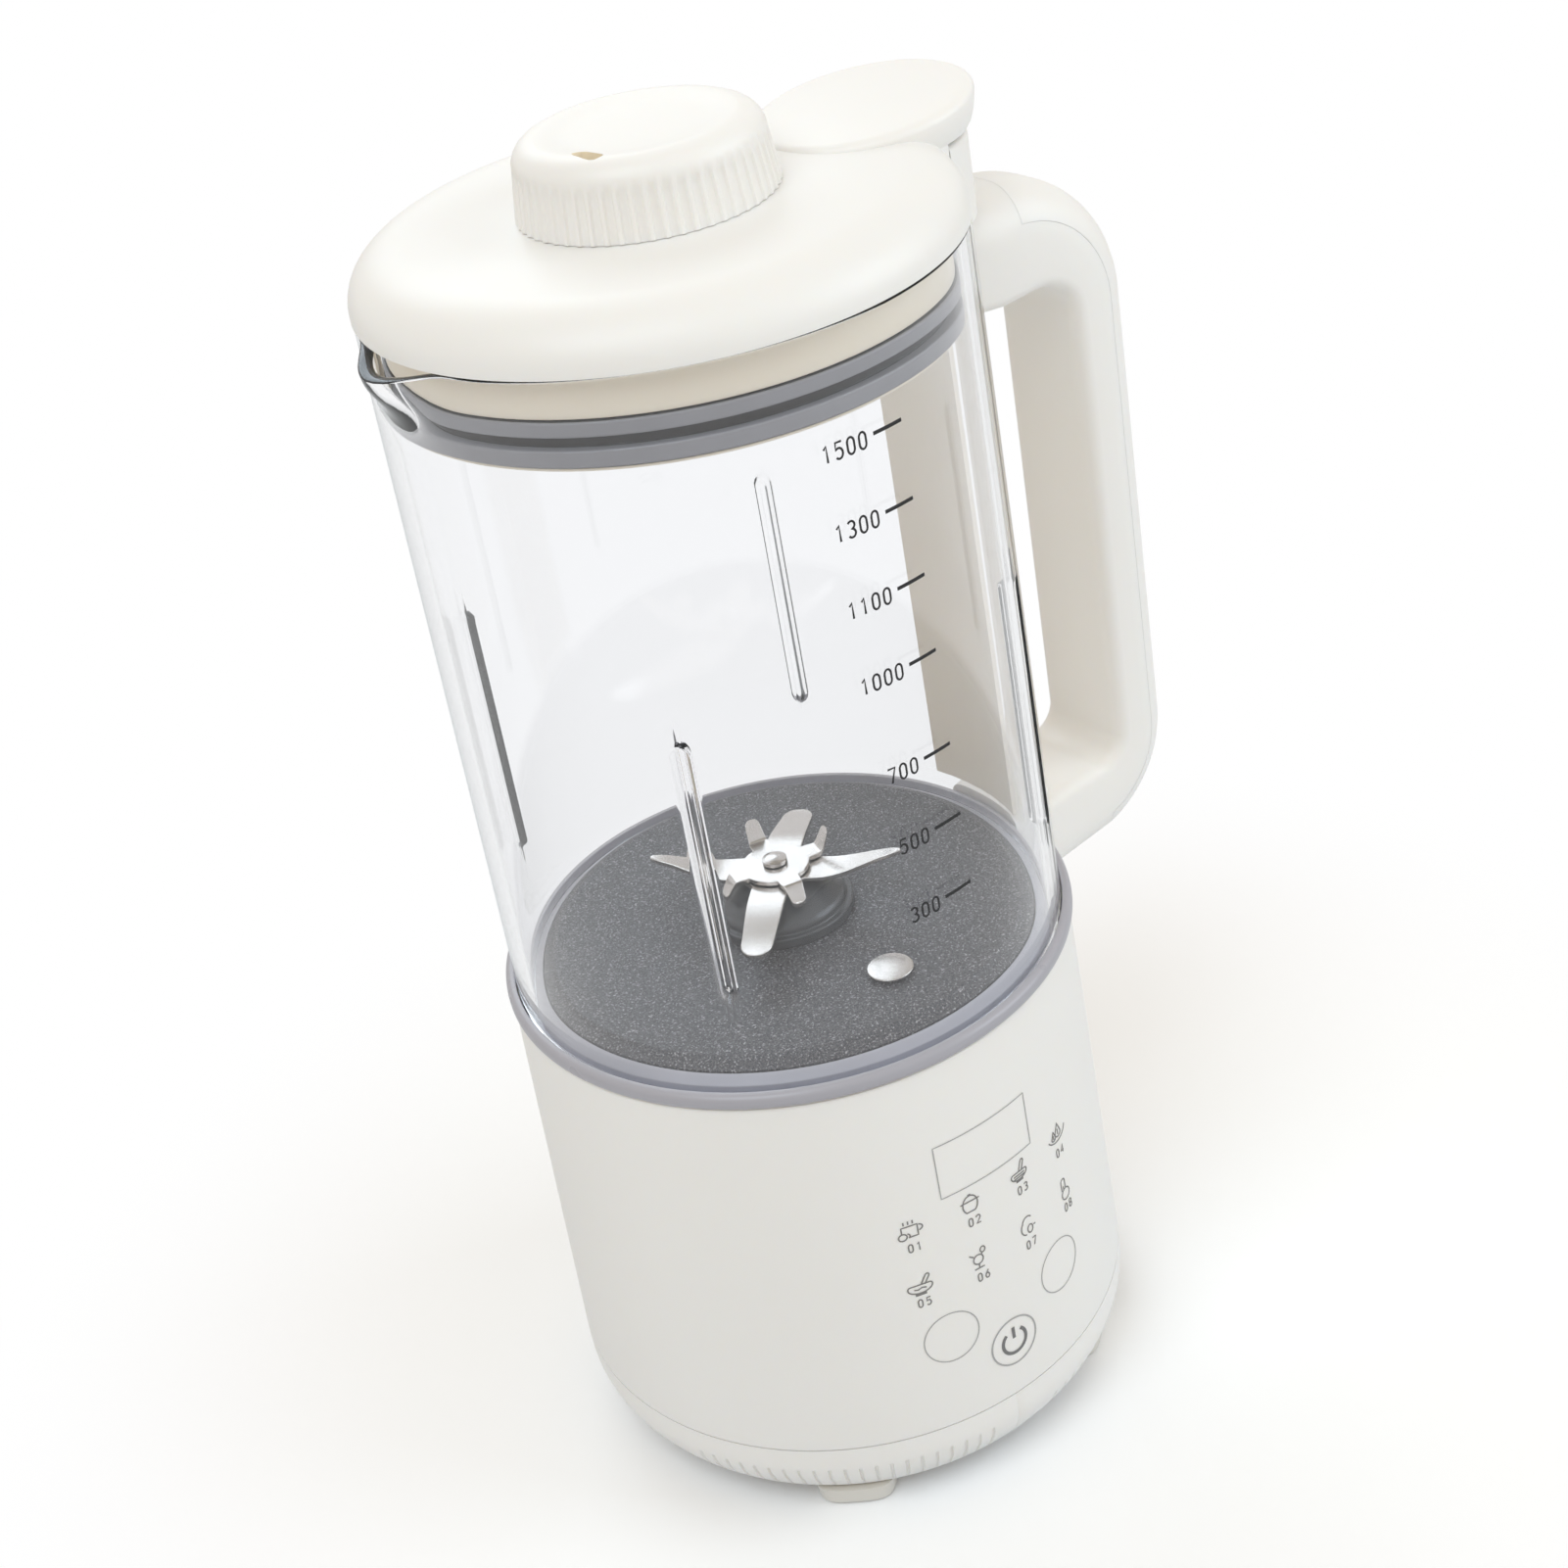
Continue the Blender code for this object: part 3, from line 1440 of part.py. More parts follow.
def build_cap(parent, look):
    """A knurled cap with a dished top, hollow below, and a pointed vent slot beside the dish."""
    ribs = cap_rib_count * 2
    plain = cap_rib_count
    shoulder = cap_bottom + cap_band_height
    rim = mix(cap_dish_radius, cap_band_top_radius, cap_rim_share)
    inside = cap_band_top_radius - cap_wall - cap_rib_depth
    shoulder_out_share, shoulder_up_share = cap_shoulder_shares
    dish_in_share, dish_down_share = cap_dish_shares
    shoulder_round = mix(rim, cap_band_top_radius, shoulder_out_share)
    rings = [
        ring_points(inside - cap_wall, cap_ceiling, plain),
        ring_points(inside, mix(shoulder, cap_ceiling, cap_inside_share), plain),
        ring_points(inside, cap_bottom, plain),
        ring_points(cap_radius, cap_bottom, ribs, cap_rib_depth),
        ring_points(cap_band_top_radius, shoulder, ribs, cap_rib_depth),
        ring_points(shoulder_round, mix(shoulder, cap_top, shoulder_up_share), plain),
        ring_points(rim, cap_top, plain),
        ring_points(cap_dish_radius, cap_top - cap_dish_depth * dish_down_share, plain),
        ring_points(cap_dish_radius * dish_in_share, cap_top - cap_dish_depth, plain // 2),
    ]
    cap = settle("cap_shell", lofted(rings), look, parent)
    slot = placed(prism(vent_outline(), cap_ceiling - overrun, cap_top + overrun), vent_hole_tilt_degrees)
    cut(cap, placed(placed(slot, 0, (vent_hole_place, 0, 0)), vent_hole_degrees))


def build_cap_neck(parent, look):
    """The tube under the cap: a waist that the seal sits in, between a step and a foot lip."""
    ceiling = cap_ceiling - gap
    seal_low = cap_seal_bottom - gap
    seal_high = cap_seal_bottom + cap_seal_height + gap
    outline = [
        (neck_foot_radius - neck_wall, lid_top - neck_depth),
        (neck_radius, lid_top - neck_depth),
        (neck_radius, seal_low),
        (neck_foot_radius, seal_low),
        (neck_foot_radius, seal_high),
        (neck_radius, seal_high),
        (neck_radius, ceiling),
        (neck_radius - neck_wall, ceiling),
        (neck_radius - neck_wall, seal_high + neck_wall),
        (neck_foot_radius - neck_wall, seal_high),
    ]
    settle("cap_neck", turned(outline, middle_steps), look, parent)


def build_cap_seal(parent, look):
    """A soft ring with two low lips."""
    inner = neck_foot_radius + gap
    low = cap_seal_bottom
    high = low + cap_seal_height
    lower_share, waist_share, upper_share = cap_seal_lip_shares
    outline = [
        (inner, low),
        (cap_seal_reach - gap, low),
        (cap_seal_reach, mix(low, high, lower_share)),
        (cap_seal_reach - gap, mix(low, high, waist_share)),
        (cap_seal_reach, mix(low, high, upper_share)),
        (cap_seal_reach - gap, high),
        (inner, high),
    ]
    settle("cap_seal", turned(outline, middle_steps), look, parent)


def handle_path():
    """Stations of the handle from its top root round the grip to its bottom root.

    Each is (x, z) of the outer face, the direction in from it, and the depth there.
    """
    top = rim_height - handle_top_drop
    low = deck + bottom_arm_top - bottom_arm_depth
    corner_x = grip_outer - corner_reach
    stations = []
    start = Vector((handle_root, top + top_arm_rise))
    bend = Vector((corner_x, top - top_arm_fall))
    inward = Vector((top_arm_lean_share, -1)).normalized()
    for share in top_arm_shares:
        stations.append((start.lerp(bend, share), inward, top_arm_depth))
    upper = Vector((corner_x, top - corner_reach))
    for degrees in corner_top_turns:
        outward = Vector(polar(1, degrees))
        depth = mix(grip_depth, top_arm_depth, smooth_share(degrees / 90))
        stations.append((upper + outward * corner_reach, -outward, depth))
    lower = Vector((corner_x, low + corner_reach))
    stations.append((Vector((grip_outer, (upper.y + lower.y) / 2)), Vector((-1, 0)), grip_depth))
    for degrees in corner_bottom_turns:
        outward = Vector(polar(1, degrees))
        depth = mix(grip_depth, bottom_arm_depth, smooth_share(-degrees / 90))
        stations.append((lower + outward * corner_reach, -outward, depth))
    begin = Vector((corner_x, low))
    finish = Vector((handle_root, low - bottom_arm_root_drop))
    inward = Vector((-bottom_arm_lean_share, 1)).normalized()
    for share in bottom_arm_shares:
        stations.append((begin.lerp(finish, share), inward, bottom_arm_depth))
    return stations


def half_width_at(depth, total):
    """Half the handle's width at a depth: its outer and inner edges are quarter circles."""
    if depth < grip_outer_round:
        drop = grip_outer_round - depth
        return grip_half_width - grip_outer_round + math.sqrt(grip_outer_round**2 - drop**2)
    if total - depth < grip_inner_round:
        drop = grip_inner_round - (total - depth)
        return grip_half_width - grip_inner_round + math.sqrt(grip_inner_round**2 - drop**2)
    return grip_half_width


def handle_section(place, inward, end, total):
    """A ring across the handle from its outer face to a depth, with points close together on round edges."""
    outer = [grip_outer_round * share for share in grip_outer_shares]
    inner = [total - grip_inner_round * share for share in grip_inner_shares]
    depths = [depth for depth in outer + inner if depth < end]
    depths.append(end)
    ring = []
    for side, order in ((-1, depths), (1, depths[::-1])):
        for depth in order:
            spot = place + inward * depth
            ring.append((spot.x, side * half_width_at(depth, total), spot.y))
    return ring


def machine_clearance():
    """What the handle must clear: base wall, ring, jug and strip, each by its own gap."""
    strip_face = jug_base_radius + strip_gap_to_glass + strip_thickness + gap
    ring_face = deck_radius + ring_bulge + gap
    strip_top = rim_height - strip_top_drop + gap
    top = lid_top + overrun
    outline = [
        (0, seam_height),
        (seam_radius + gap, seam_height),
        (deck_radius + gap, deck),
        (ring_face, deck + gap),
        (ring_face, deck + ring_height),
        (strip_face, deck + ring_height + gap),
        (strip_face, strip_top),
        (block_face(), strip_top + gap),
        (block_face(), top),
        (0, top),
    ]
    return turned(outline)


def block_face():
    """Where the switch block's inner face stands, clear of the lid's side."""
    return lid_radius + block_inner_clearance


def cover_bed(sweep):
    """What the handle's body gives up for its cover: the cover's skin, the gap round it and all outside it."""
    first, second = sweep[0], sweep[1]
    last, before = sweep[-1], sweep[-2]
    head = first[0] + (first[0] - second[0]).normalized() * gap
    tail = last[0] + (last[0] - before[0]).normalized() * gap
    stations = [(head, first[1]), *(station[:2] for station in sweep[1:-1]), (tail, last[1])]
    wide = grip_half_width + overrun
    rings = []
    for place, inward in stations:
        out = place - inward * overrun
        deep = place + inward * (cover_skin + gap)
        rings.append([(out.x, -wide, out.y), (deep.x, -wide, deep.y), (deep.x, wide, deep.y), (out.x, wide, out.y)])
    return lofted(rings)


def build_handle(parent, look, cover_look):
    """Two mouldings swept along one path: the inner body with its switch block, and the outer cover."""
    stations = handle_path()
    whole = lofted([handle_section(place, inward, depth, depth) for place, inward, depth in stations])
    body = settle("handle_body", whole, look, parent)
    join(body, post((tab_centre, 0), block_radius, block_top - block_base_drop, block_top, tab_steps))
    cut(body, machine_clearance())
    first = next(index for index, station in enumerate(stations) if station[0].x > cover_start)
    last = max(index for index, station in enumerate(stations) if station[0].x > cover_end)
    sweep = stations[first : last + 1]
    cut(body, cover_bed(sweep))
    cover = lofted([handle_section(place, inward, cover_skin, depth) for place, inward, depth in sweep])
    settle("handle_cover", cover, cover_look, parent)
    pocket_top = block_top - reed_pocket_drop
    across = reed_half_width + gap
    pocket = block(
        (block_face() - overrun, -across, pocket_top - reed_length - 2 * gap),
        (block_face() + gap + 2 * across, across, pocket_top),
    )
    cut(body, pocket)


def build_back_strip(parent, look):
    """The band along the back of the jug, curved round the glass."""
    turns = [strip_half_degrees * (2 * step / strip_bends - 1) for step in range(strip_bends + 1)]
    rings = []
    for height in (deck + strip_bottom, rim_height - strip_top_drop):
        inner = jug_radius(height) + strip_gap_to_glass
        ring = [(*polar(inner + strip_thickness, turn), height) for turn in turns]
        ring += [(*polar(inner, turn), height) for turn in reversed(turns)]
        rings.append(ring)
    settle("handle_back_strip", lofted(rings), look, parent)


def build_reed_switch(parent, look):
    top = block_top - reed_pocket_drop - gap
    face = block_face() + gap
    reed = block(
        (face, -reed_half_width, top - reed_length),
        (face + 2 * reed_half_width, reed_half_width, top),
    )
    settle("reed_switch", reed, look, parent, smooth=False)


def main():
    clear_scene()
    ivory = colour_of("ivory_plastic", (0.83, 0.81, 0.75), 0.42)
    cream = colour_of("cream_plastic", (0.80, 0.74, 0.62), 0.45)
    grey_ring = colour_of("grey_ring_plastic", (0.30, 0.30, 0.36), 0.25)
    grey_rubber = colour_of("grey_silicone", (0.24, 0.25, 0.28), 0.5)
    foot_rubber = colour_of("foot_rubber", (0.72, 0.70, 0.64), 0.6)
    glass = colour_of("clear_glass", (0.95, 0.96, 0.97), 0.02, 0.0, 1.0)
    coating = colour_of("nonstick_coating", (0.045, 0.045, 0.052), 0.45)
    boss = colour_of("dark_housing", (0.02, 0.02, 0.023), 0.3)
    steel = colour_of("stainless_steel", (0.62, 0.62, 0.62), 0.22, 1.0)
    iron = colour_of("motor_iron", (0.22, 0.22, 0.23), 0.45, 1.0)
    copper = colour_of("copper_winding", (0.72, 0.32, 0.16), 0.35, 1.0)
    brass = colour_of("brass", (0.78, 0.58, 0.28), 0.3, 1.0)
    carbon = colour_of("carbon", (0.03, 0.03, 0.03), 0.7)
    aluminium = colour_of("cast_aluminium", (0.58, 0.58, 0.58), 0.45, 1.0)
    board = colour_of("circuit_board", (0.05, 0.20, 0.09), 0.5)
    black = colour_of("black_plastic", (0.03, 0.03, 0.03), 0.4)
    blue = colour_of("relay_blue", (0.05, 0.14, 0.40), 0.4)
    amber = colour_of("film_amber", (0.55, 0.30, 0.05), 0.35)

    root = empty("soy_milk_maker")
    root.location.x = -root_shift
    body = empty("body_frame", root)
    lid = empty("lid_frame", root, lid_bottom)
    seal_frame = empty("cap_seal_frame", root, cap_seal_bottom)
    cap = empty("cap_frame", root, cap_bottom)
    rotor = empty("rotor_frame", root, housing_top)

    build_bottom_cover(body, ivory)
    build_feet(body, foot_rubber)
    build_base_shell(body, ivory)
    build_power_inlet(body, black)
    build_jug_ring(body, grey_ring)
    build_jug_gasket(body, grey_rubber)
    build_heating_plate(body, coating)
    build_probe(body, steel, grey_rubber)
    build_heating_element(body, steel)
    build_cutout(body, black)
    build_jug(body, glass)
    build_shaft_housing(body, boss)
    build_bearings_and_seal(body, steel, grey_rubber)
    build_ring_nut(body, aluminium)
    build_upper_bracket(body, aluminium)
    build_stator(body, iron, copper)
    build_lower_bracket(body, aluminium)
    build_brushes(body, brass, carbon)
    build_control_electronics(body, board, black, amber)
    build_power_electronics(body, board, black, blue)
    build_handle(body, ivory, ivory)
    build_back_strip(body, ivory)
    build_reed_switch(body, black)

    build_shaft(rotor, steel)
    build_armature(rotor, iron, copper, copper)
    build_fan(rotor, black)
    build_blades(rotor, steel)
    build_blade_nut(rotor, steel)

    build_lid(lid, ivory)
    build_lid_magnet(lid, iron)
    build_lid_plug(lid, cream)
    build_filling_tube(lid, cream)
    build_lid_seal(lid, grey_rubber)

    build_cap_seal(seal_frame, grey_rubber)
    build_cap(cap, ivory)
    build_cap_neck(cap, cream)


main()
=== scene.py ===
"""Looks of the soy milk maker: finer forms, prints, materials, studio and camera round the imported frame."""

import json
import math

import bmesh
import bpy
from mathutils import Matrix, Vector


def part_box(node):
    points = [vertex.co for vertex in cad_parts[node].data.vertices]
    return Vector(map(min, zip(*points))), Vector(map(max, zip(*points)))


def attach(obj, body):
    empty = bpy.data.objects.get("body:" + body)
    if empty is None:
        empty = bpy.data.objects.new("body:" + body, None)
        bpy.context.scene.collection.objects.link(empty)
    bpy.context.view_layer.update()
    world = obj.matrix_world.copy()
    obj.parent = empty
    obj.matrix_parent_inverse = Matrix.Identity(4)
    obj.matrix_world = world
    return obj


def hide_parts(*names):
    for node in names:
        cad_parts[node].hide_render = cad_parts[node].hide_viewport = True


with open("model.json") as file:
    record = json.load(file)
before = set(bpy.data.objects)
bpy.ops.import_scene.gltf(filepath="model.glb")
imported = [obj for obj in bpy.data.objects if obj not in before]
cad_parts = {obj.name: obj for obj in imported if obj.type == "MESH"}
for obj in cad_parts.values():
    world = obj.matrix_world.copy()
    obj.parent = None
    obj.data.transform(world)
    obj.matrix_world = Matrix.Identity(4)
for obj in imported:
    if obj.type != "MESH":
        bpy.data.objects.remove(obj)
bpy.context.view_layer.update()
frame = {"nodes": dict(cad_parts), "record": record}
record = frame["record"]
slots = {entry["node"]: entry["material_slot"] for entry in record["subparts"]}
bodies = {node: body for body, members in record["behaviour"]["bodies"].items() for node in members}
# The back strip's look is brighter and warmer than the other plastics: painted light for a strip that sits in
# shade behind the glass.
special_looks = {"handle_back_strip": "strip_painted_light", "jug_gasket_fine": "gasket_silicone"}

# Places that come from the frame
shell_low, shell_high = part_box("base_shell")
glass_low, glass_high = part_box("jug_glass")
ring_low, ring_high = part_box("jug_ring")
cap_low, cap_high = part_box("cap_shell")
plate_low, plate_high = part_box("heating_plate")
housing_low, housing_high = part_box("shaft_housing")
lid_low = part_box("lid_shell")[0]
cover_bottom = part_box("bottom_cover")[0].z
gasket_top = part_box("jug_gasket")[1].z
axis_x = (shell_low.x + shell_high.x) / 2
grip_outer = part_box("handle_cover")[1].x - axis_x
seam = shell_low.z
deck = shell_high.z
seam_radius = (shell_high.x - shell_low.x) / 2
jug_bottom = glass_low.z
rim_height = glass_high.z
jug_base_radius = glass_high.y
gap = 0.0003
weld_reach = 0.000003
node_weld_reach = 0.00002
node_edge_degrees = 32
piece_edge_degrees = 34
blade_edge_degrees = 40

# Lines round a turned form
wall_steps = 192
skirt_steps = 160
boss_steps = 96
small_steps = 64
pocket_steps = 32

# Base shell, cover and feet
shell_taper = 0.0024
deck_radius = seam_radius - shell_taper
base_wall = 0.0026
deck_ledge = 0.0143
deck_thickness = 0.0025
deck_edge_round = 0.0009
inlet_bezel = 0.0022
inlet_bezel_thickness = 0.0012
cover_floor = 0.0022
cover_edge_inset = 0.0067
cover_edge_rise = 0.0140
cover_lines = 144
cover_rows = 30
cover_row_crowding = 1.3
vent_first_degrees = 8.5
vent_pitch_degrees = 3.1
vent_count = 21
vent_half_degrees = 0.42
vent_slope_share = 0.45
vent_depth = 0.0006
vent_low_rise = 0.0010
vent_left_top = 0.0118
vent_right_top = 0.0088
vent_end = 0.0012
joint_degrees = -92.4
joint_half_degrees = 0.16
joint_depth_share = 0.2
floor_slot_count = 8
floor_slot_length = 0.016
floor_slot_width = 0.003
floor_slot_place = 0.024
foot_half_depth = 0.0112
foot_half_width = 0.0100
foot_squareness = 4.0
foot_round = 0.0014
foot_taper = 0.0004

# Jug
jug_taper = 0.0014
jug_mouth_radius = jug_base_radius - jug_taper
jug_wall = 0.0032
rim_round = 0.0004
rib_depth = 0.0017
rib_half_degrees = 2.0
rib_low = deck + 0.0270
rib_high = deck + 0.0895
rib_end = 0.0066
rib_steepness = 1.35
rib_angles = (46, 134, 226, 314)
rib_lines = 18
rib_line_reach = rib_half_degrees * 1.2
wall_lines = 42
spout_reach = 0.00604
spout_half_degrees = 16.5
spout_drop = 0.0016
spout_depth = 0.0200
spout_foot = rim_height - spout_depth
spout_curve = 1.5

# Base rings and plate
ring_edge = 0.0008
ring_edge_round = 0.00064
ring_round = 0.0019
gasket_outer_height = 0.0036
plate_hole_radius = 0.0103
plate_rim_width = 0.0031
plate_step_width = 0.0008
plate_step_depth = 0.0007
plate_rim_height = 0.0055
plate_edge = 0.0003
plate_skirt = 0.0022
plate_thickness = 0.0026

# Shaft housing, blades and probe
housing_flange_height = 0.0024
housing_body_radius = 0.0152
housing_body_height = 0.0042
housing_top_radius = 0.0074
housing_mouth_radius = 0.0046
housing_bore_radius = 0.0079
housing_edge = 0.0005
housing_shoulder_round = 0.0015
housing_top_round = 0.0010
blade_bore_radius = 0.0019
blade_thickness = 0.0012
blade_edge = 0.0002
blade_rows = 16
blade_crowding = 1.4
blade_bend_end_share = 1.08
blade_narrow_share = 0.9
blade_tip_share = 0.84
blade_tip_fullness = 0.88
blade_clearance = 0.0006
long_height = housing_high.z + blade_clearance
long_hub_radius = 0.0084
long_root_width = 0.0088
long_low_tip_width = 0.0070
long_high_tip_width = 0.0020
long_reach = 0.0296
long_first_degrees = 43.0
long_level_share = 0.12
short_height = long_height + blade_thickness + gap
short_hub_radius = 0.0080
short_root_width = 0.0052
short_tip_width = 0.0034
short_reach = 0.0135
short_first_degrees = 76.0
short_level_share = 0.42
probe_rise = 0.0008
probe_crown = 0.0003
probe_stem_radius = 0.0030

# Lid, plug and seal
lid_height = 0.0114
lid_top = lid_low.z + lid_height
lid_side_height = 0.0010
lid_round = 0.0130
lid_wall = 0.0024
lid_hole_radius = 0.0228
tab_radius = 0.0237
tab_bottom_radius = 0.0216
tab_bottom_drop = 0.0046
tab_edge = 0.0026
tab_edge_drop = 0.00078
tab_crown = 0.0009
tab_belly_shares = ((0.4, 0.8), (0.75, 0.55))
tab_tilt = 0.085
tab_cap_clearance = 0.0019
tab_inset = 0.0087
tab_centre = jug_mouth_radius + gap - tab_inset
plug_rim_lip = 0.0018
plug_seal_seat = 0.0024
plug_wall = 0.0018
plug_lip_thickness = 0.0009
tube_radius = 0.0243
seal_groove = 0.0022
seal_lower_lip = 0.0036
seal_upper_lip = 0.0031
seal_edge = 0.0005
seal_groove_edge = 0.00025

# Cap
cap_rib_count = 56
cap_rib_depth = 0.0006
cap_rib_lines = 8
cap_rib_foot_share = 0.30
cap_rib_slope_share = 0.22
cap_band_radius = 0.0256
cap_band_height = 0.0104
cap_wall = 0.0022
cap_edge = 0.0002
cap_foot_drop = 0.0002
cap_dish_radius = 0.0178
cap_dish_lip = 0.0025
cap_dish_slope = 0.00375
cap_dish_depth = 0.0008
cap_rim_share = 0.35
cap_top_wall = 0.00308
cap_ceiling = cap_high.z - cap_dish_depth - cap_top_wall
vent_place = 0.0187
vent_degrees = 207
vent_tilt_degrees = -27.7
vent_length = 0.0082
vent_width = 0.0038
vent_squareness = 3.2
vent_reach = vent_length * 0.6
upright_limit = 0.3

# Handle
grip_half_width = 0.0140
grip_depth = 0.0186
grip_outer_round = 0.0110
grip_inner_round = 0.0036
handle_root_inset = 0.0098
handle_root = deck_radius - handle_root_inset
handle_top_drop = 0.0112
top_arm_depth = 0.0248
top_arm_rise = 0.0016
top_arm_fall = 0.0010
top_arm_lean = 0.06
bottom_arm_top = 0.0080
bottom_arm_depth = 0.0235
bottom_arm_root_drop = 0.0040
bottom_arm_lean = 0.10
top_corner_reach = 0.0325
corner_reach = 0.0290
cover_skin = 0.0078
cover_margin = 0.0042
cover_top_reach = 0.0322
cover_bottom_reach = 0.0252
handle_seam = 0.00006
strip_gap = 0.0004
strip_thickness = 0.0019
block_radius = 0.0212
block_base_drop = 0.0180
block_edge = 0.0012
block_slit = 0.0013
block_clearance = 0.0008
block_face = jug_mouth_radius + block_clearance
block_top = lid_top - tab_bottom_drop - block_slit

# Prints
print_lift = 0.00005
print_thickness = 0.00003
print_pitch = 0.001
scale_marks = ((300, 0.0380), (500, 0.0550), (700, 0.0719), (1000, 0.0937), (1100, 0.1106), (1300, 0.1272),
               (1500, 0.1436))
mark_degrees = (-89.0, -82.4)
mark_width = 0.0008
number_height = 0.0034
number_pitch = 0.0027
number_stroke = 0.00048
number_right_degrees = -90.6
number_drop = 0.0004
panel_stroke = 0.00034
outline_stroke = 0.000272
power_ring_stroke = 0.000442
power_sign_stroke = 0.000884
icon_size = 0.0066
icon_widths = (0.0068, 0.0066, 0.0064, 0.0080)
icon_angles = (-108.5, -95.5, -83.0, -70.3)
icon_rows = (-0.0399, -0.0560)
key_number_height = 0.0022
key_number_pitch = 0.0020
key_number_base = -0.00627
display_degrees = -90.0
display_width = 0.0263
display_height = 0.0142
display_drop = 0.0280
blank_key_degrees = (-103.9, -75.7)
blank_key_radius = 0.0069
blank_key_drop = 0.0740
power_key_degrees = -90.7
power_key_radius = 0.0065
power_key_drop = 0.0844
power_sign_radius = 0.00338

# Camera, solved from the photograph's circles; its place is measured from the jug's axis at deck height
camera_offset = (-0.2549, -0.4299, 0.3396)
camera_azimuth = -31.27
camera_elevation = 30.97
camera_roll = -10.44
camera_lens = 59.13
sensor_width = 36.0

# Studio
lamp_colour = (0.76, 0.89, 1.0)
lamp_aim = (axis_x, 0.0, 0.16)
lamps = (
    ("key_softbox", (-0.9, -0.5, 1.5), 1.1, 10.7),
    ("fill_softbox", (1.1, -1.0, 0.9), 1.2, 10.3),
    ("back_softbox", (0.3, 1.2, 1.1), 1.0, 4.7),
)
floor_reach = 6.0
floor_drop = 0.00005
floor_fade_start = 0.09
floor_fade_end = 0.26
floor_lit_colour = (0.76, 0.80, 0.85)
floor_seen_colour = (0.975, 0.985, 1.0)
world_light_colour = (0.645, 0.56, 0.46)
world_seen_colour = (1.0, 1.0, 1.0)


def polar(radius, degrees):
    return radius * math.cos(math.radians(degrees)), radius * math.sin(math.radians(degrees))


def mix(start, end, share):
    return start + (end - start) * share


def smooth_share(value):
    held = min(max(value, 0.0), 1.0)
    return held * held * (3 - 2 * held)


def quarter(parts):
    """A quarter of a circle from its foot to its top, as shares inward and up."""
    turns = [math.radians(90 * part / parts) for part in range(parts + 1)]
    return [(1 - math.cos(turn), math.sin(turn)) for turn in turns]


def middle_of(low, high):
    """The middle of a box, as seen from the jug's axis."""
    return (low.x + high.x) / 2 - axis_x, (low.y + high.y) / 2


# Materials: the scale of a noise is in waves per metre
class Look:
    """A Principled material and short ways to add procedural detail at real scale."""

    def __init__(self, name, colour, roughness, metallic=0.0):
        self.material = bpy.data.materials.new(name)
        self.material.use_nodes = True
        self.nodes = self.material.node_tree.nodes
        self.links = self.material.node_tree.links
        self.shader = self.nodes["Principled BSDF"]
        self.set("Base Color", (*colour, 1.0))
        self.set("Roughness", roughness)
        self.set("Metallic", metallic)
        self.place = self.nodes.new("ShaderNodeTexCoord").outputs["Object"]

    def set(self, socket, value):
        self.shader.inputs[socket].default_value = value

    def noise(self, scale, detail=3.0, stretch=None):
        texture = self.nodes.new("ShaderNodeTexNoise")
        texture.inputs["Scale"].default_value = scale
        texture.inputs["Detail"].default_value = detail
        source = self.place
        if stretch:
            mapping = self.nodes.new("ShaderNodeMapping")
            mapping.inputs["Scale"].default_value = stretch
            self.links.new(source, mapping.inputs["Vector"])
            source = mapping.outputs["Vector"]
        self.links.new(source, texture.inputs["Vector"])
        return texture.outputs["Fac"]

    def ramp(self, source, stops):
        made = self.nodes.new("ShaderNodeValToRGB")
        elements = made.color_ramp.elements
        while len(elements) < len(stops):
            elements.new(0.5)
        for element, (position, colour) in zip(elements, stops):
            element.position = position
            element.color = (*colour, 1.0)
        self.links.new(source, made.inputs["Fac"])
        self.links.new(made.outputs["Color"], self.shader.inputs["Base Color"])

    def darken(self, source, share):
        """Lets the colour drift toward a darker one of the same hue."""
        colour = tuple(self.shader.inputs["Base Color"].default_value)[:3]
        self.ramp(source, ((0.35, [channel * share for channel in colour]), (0.65, colour)))

    def vary_roughness(self, source, low, high):
        span = self.nodes.new("ShaderNodeMapRange")
        span.inputs["To Min"].default_value = low
        span.inputs["To Max"].default_value = high
        self.links.new(source, span.inputs["Value"])
        self.links.new(span.outputs["Result"], self.shader.inputs["Roughness"])

    def bump(self, source, strength, distance):
        made = self.nodes.new("ShaderNodeBump")
        made.inputs["Strength"].default_value = strength
        made.inputs["Distance"].default_value = distance
        self.links.new(source, made.inputs["Height"])
        self.links.new(made.outputs["Normal"], self.shader.inputs["Normal"])


def seen_by(tree, *rays):
    """One for a ray of any of the kinds named, and otherwise zero."""
    path = tree.nodes.new("ShaderNodeLightPath")
    found = path.outputs[rays[0]]
    for ray in rays[1:]:
        found = worked_out(tree, "MAXIMUM", found, path.outputs[ray])
    return found


def worked_out(tree, operation, first, second):
    made = tree.nodes.new("ShaderNodeMath")
    made.operation = operation
    tree.links.new(first, made.inputs[0])
    tree.links.new(second, made.inputs[1])
    return made.outputs[0]


def chosen_colour(tree, factor, first, second):
    made = tree.nodes.new("ShaderNodeMix")
    made.data_type = "RGBA"
    made.inputs["A"].default_value = (*first, 1)
    made.inputs["B"].default_value = (*second, 1)
    tree.links.new(factor, made.inputs["Factor"])
    return made.outputs["Result"]


def choose_surface(tree, factor, first, second):
    """Puts one of two shaders on a material's surface, by a factor."""
    blend = tree.nodes.new("ShaderNodeMixShader")
    for source, socket in zip((factor, first, second), blend.inputs):
        tree.links.new(source, socket)
    tree.links.new(blend.outputs["Shader"], tree.nodes["Material Output"].inputs["Surface"])


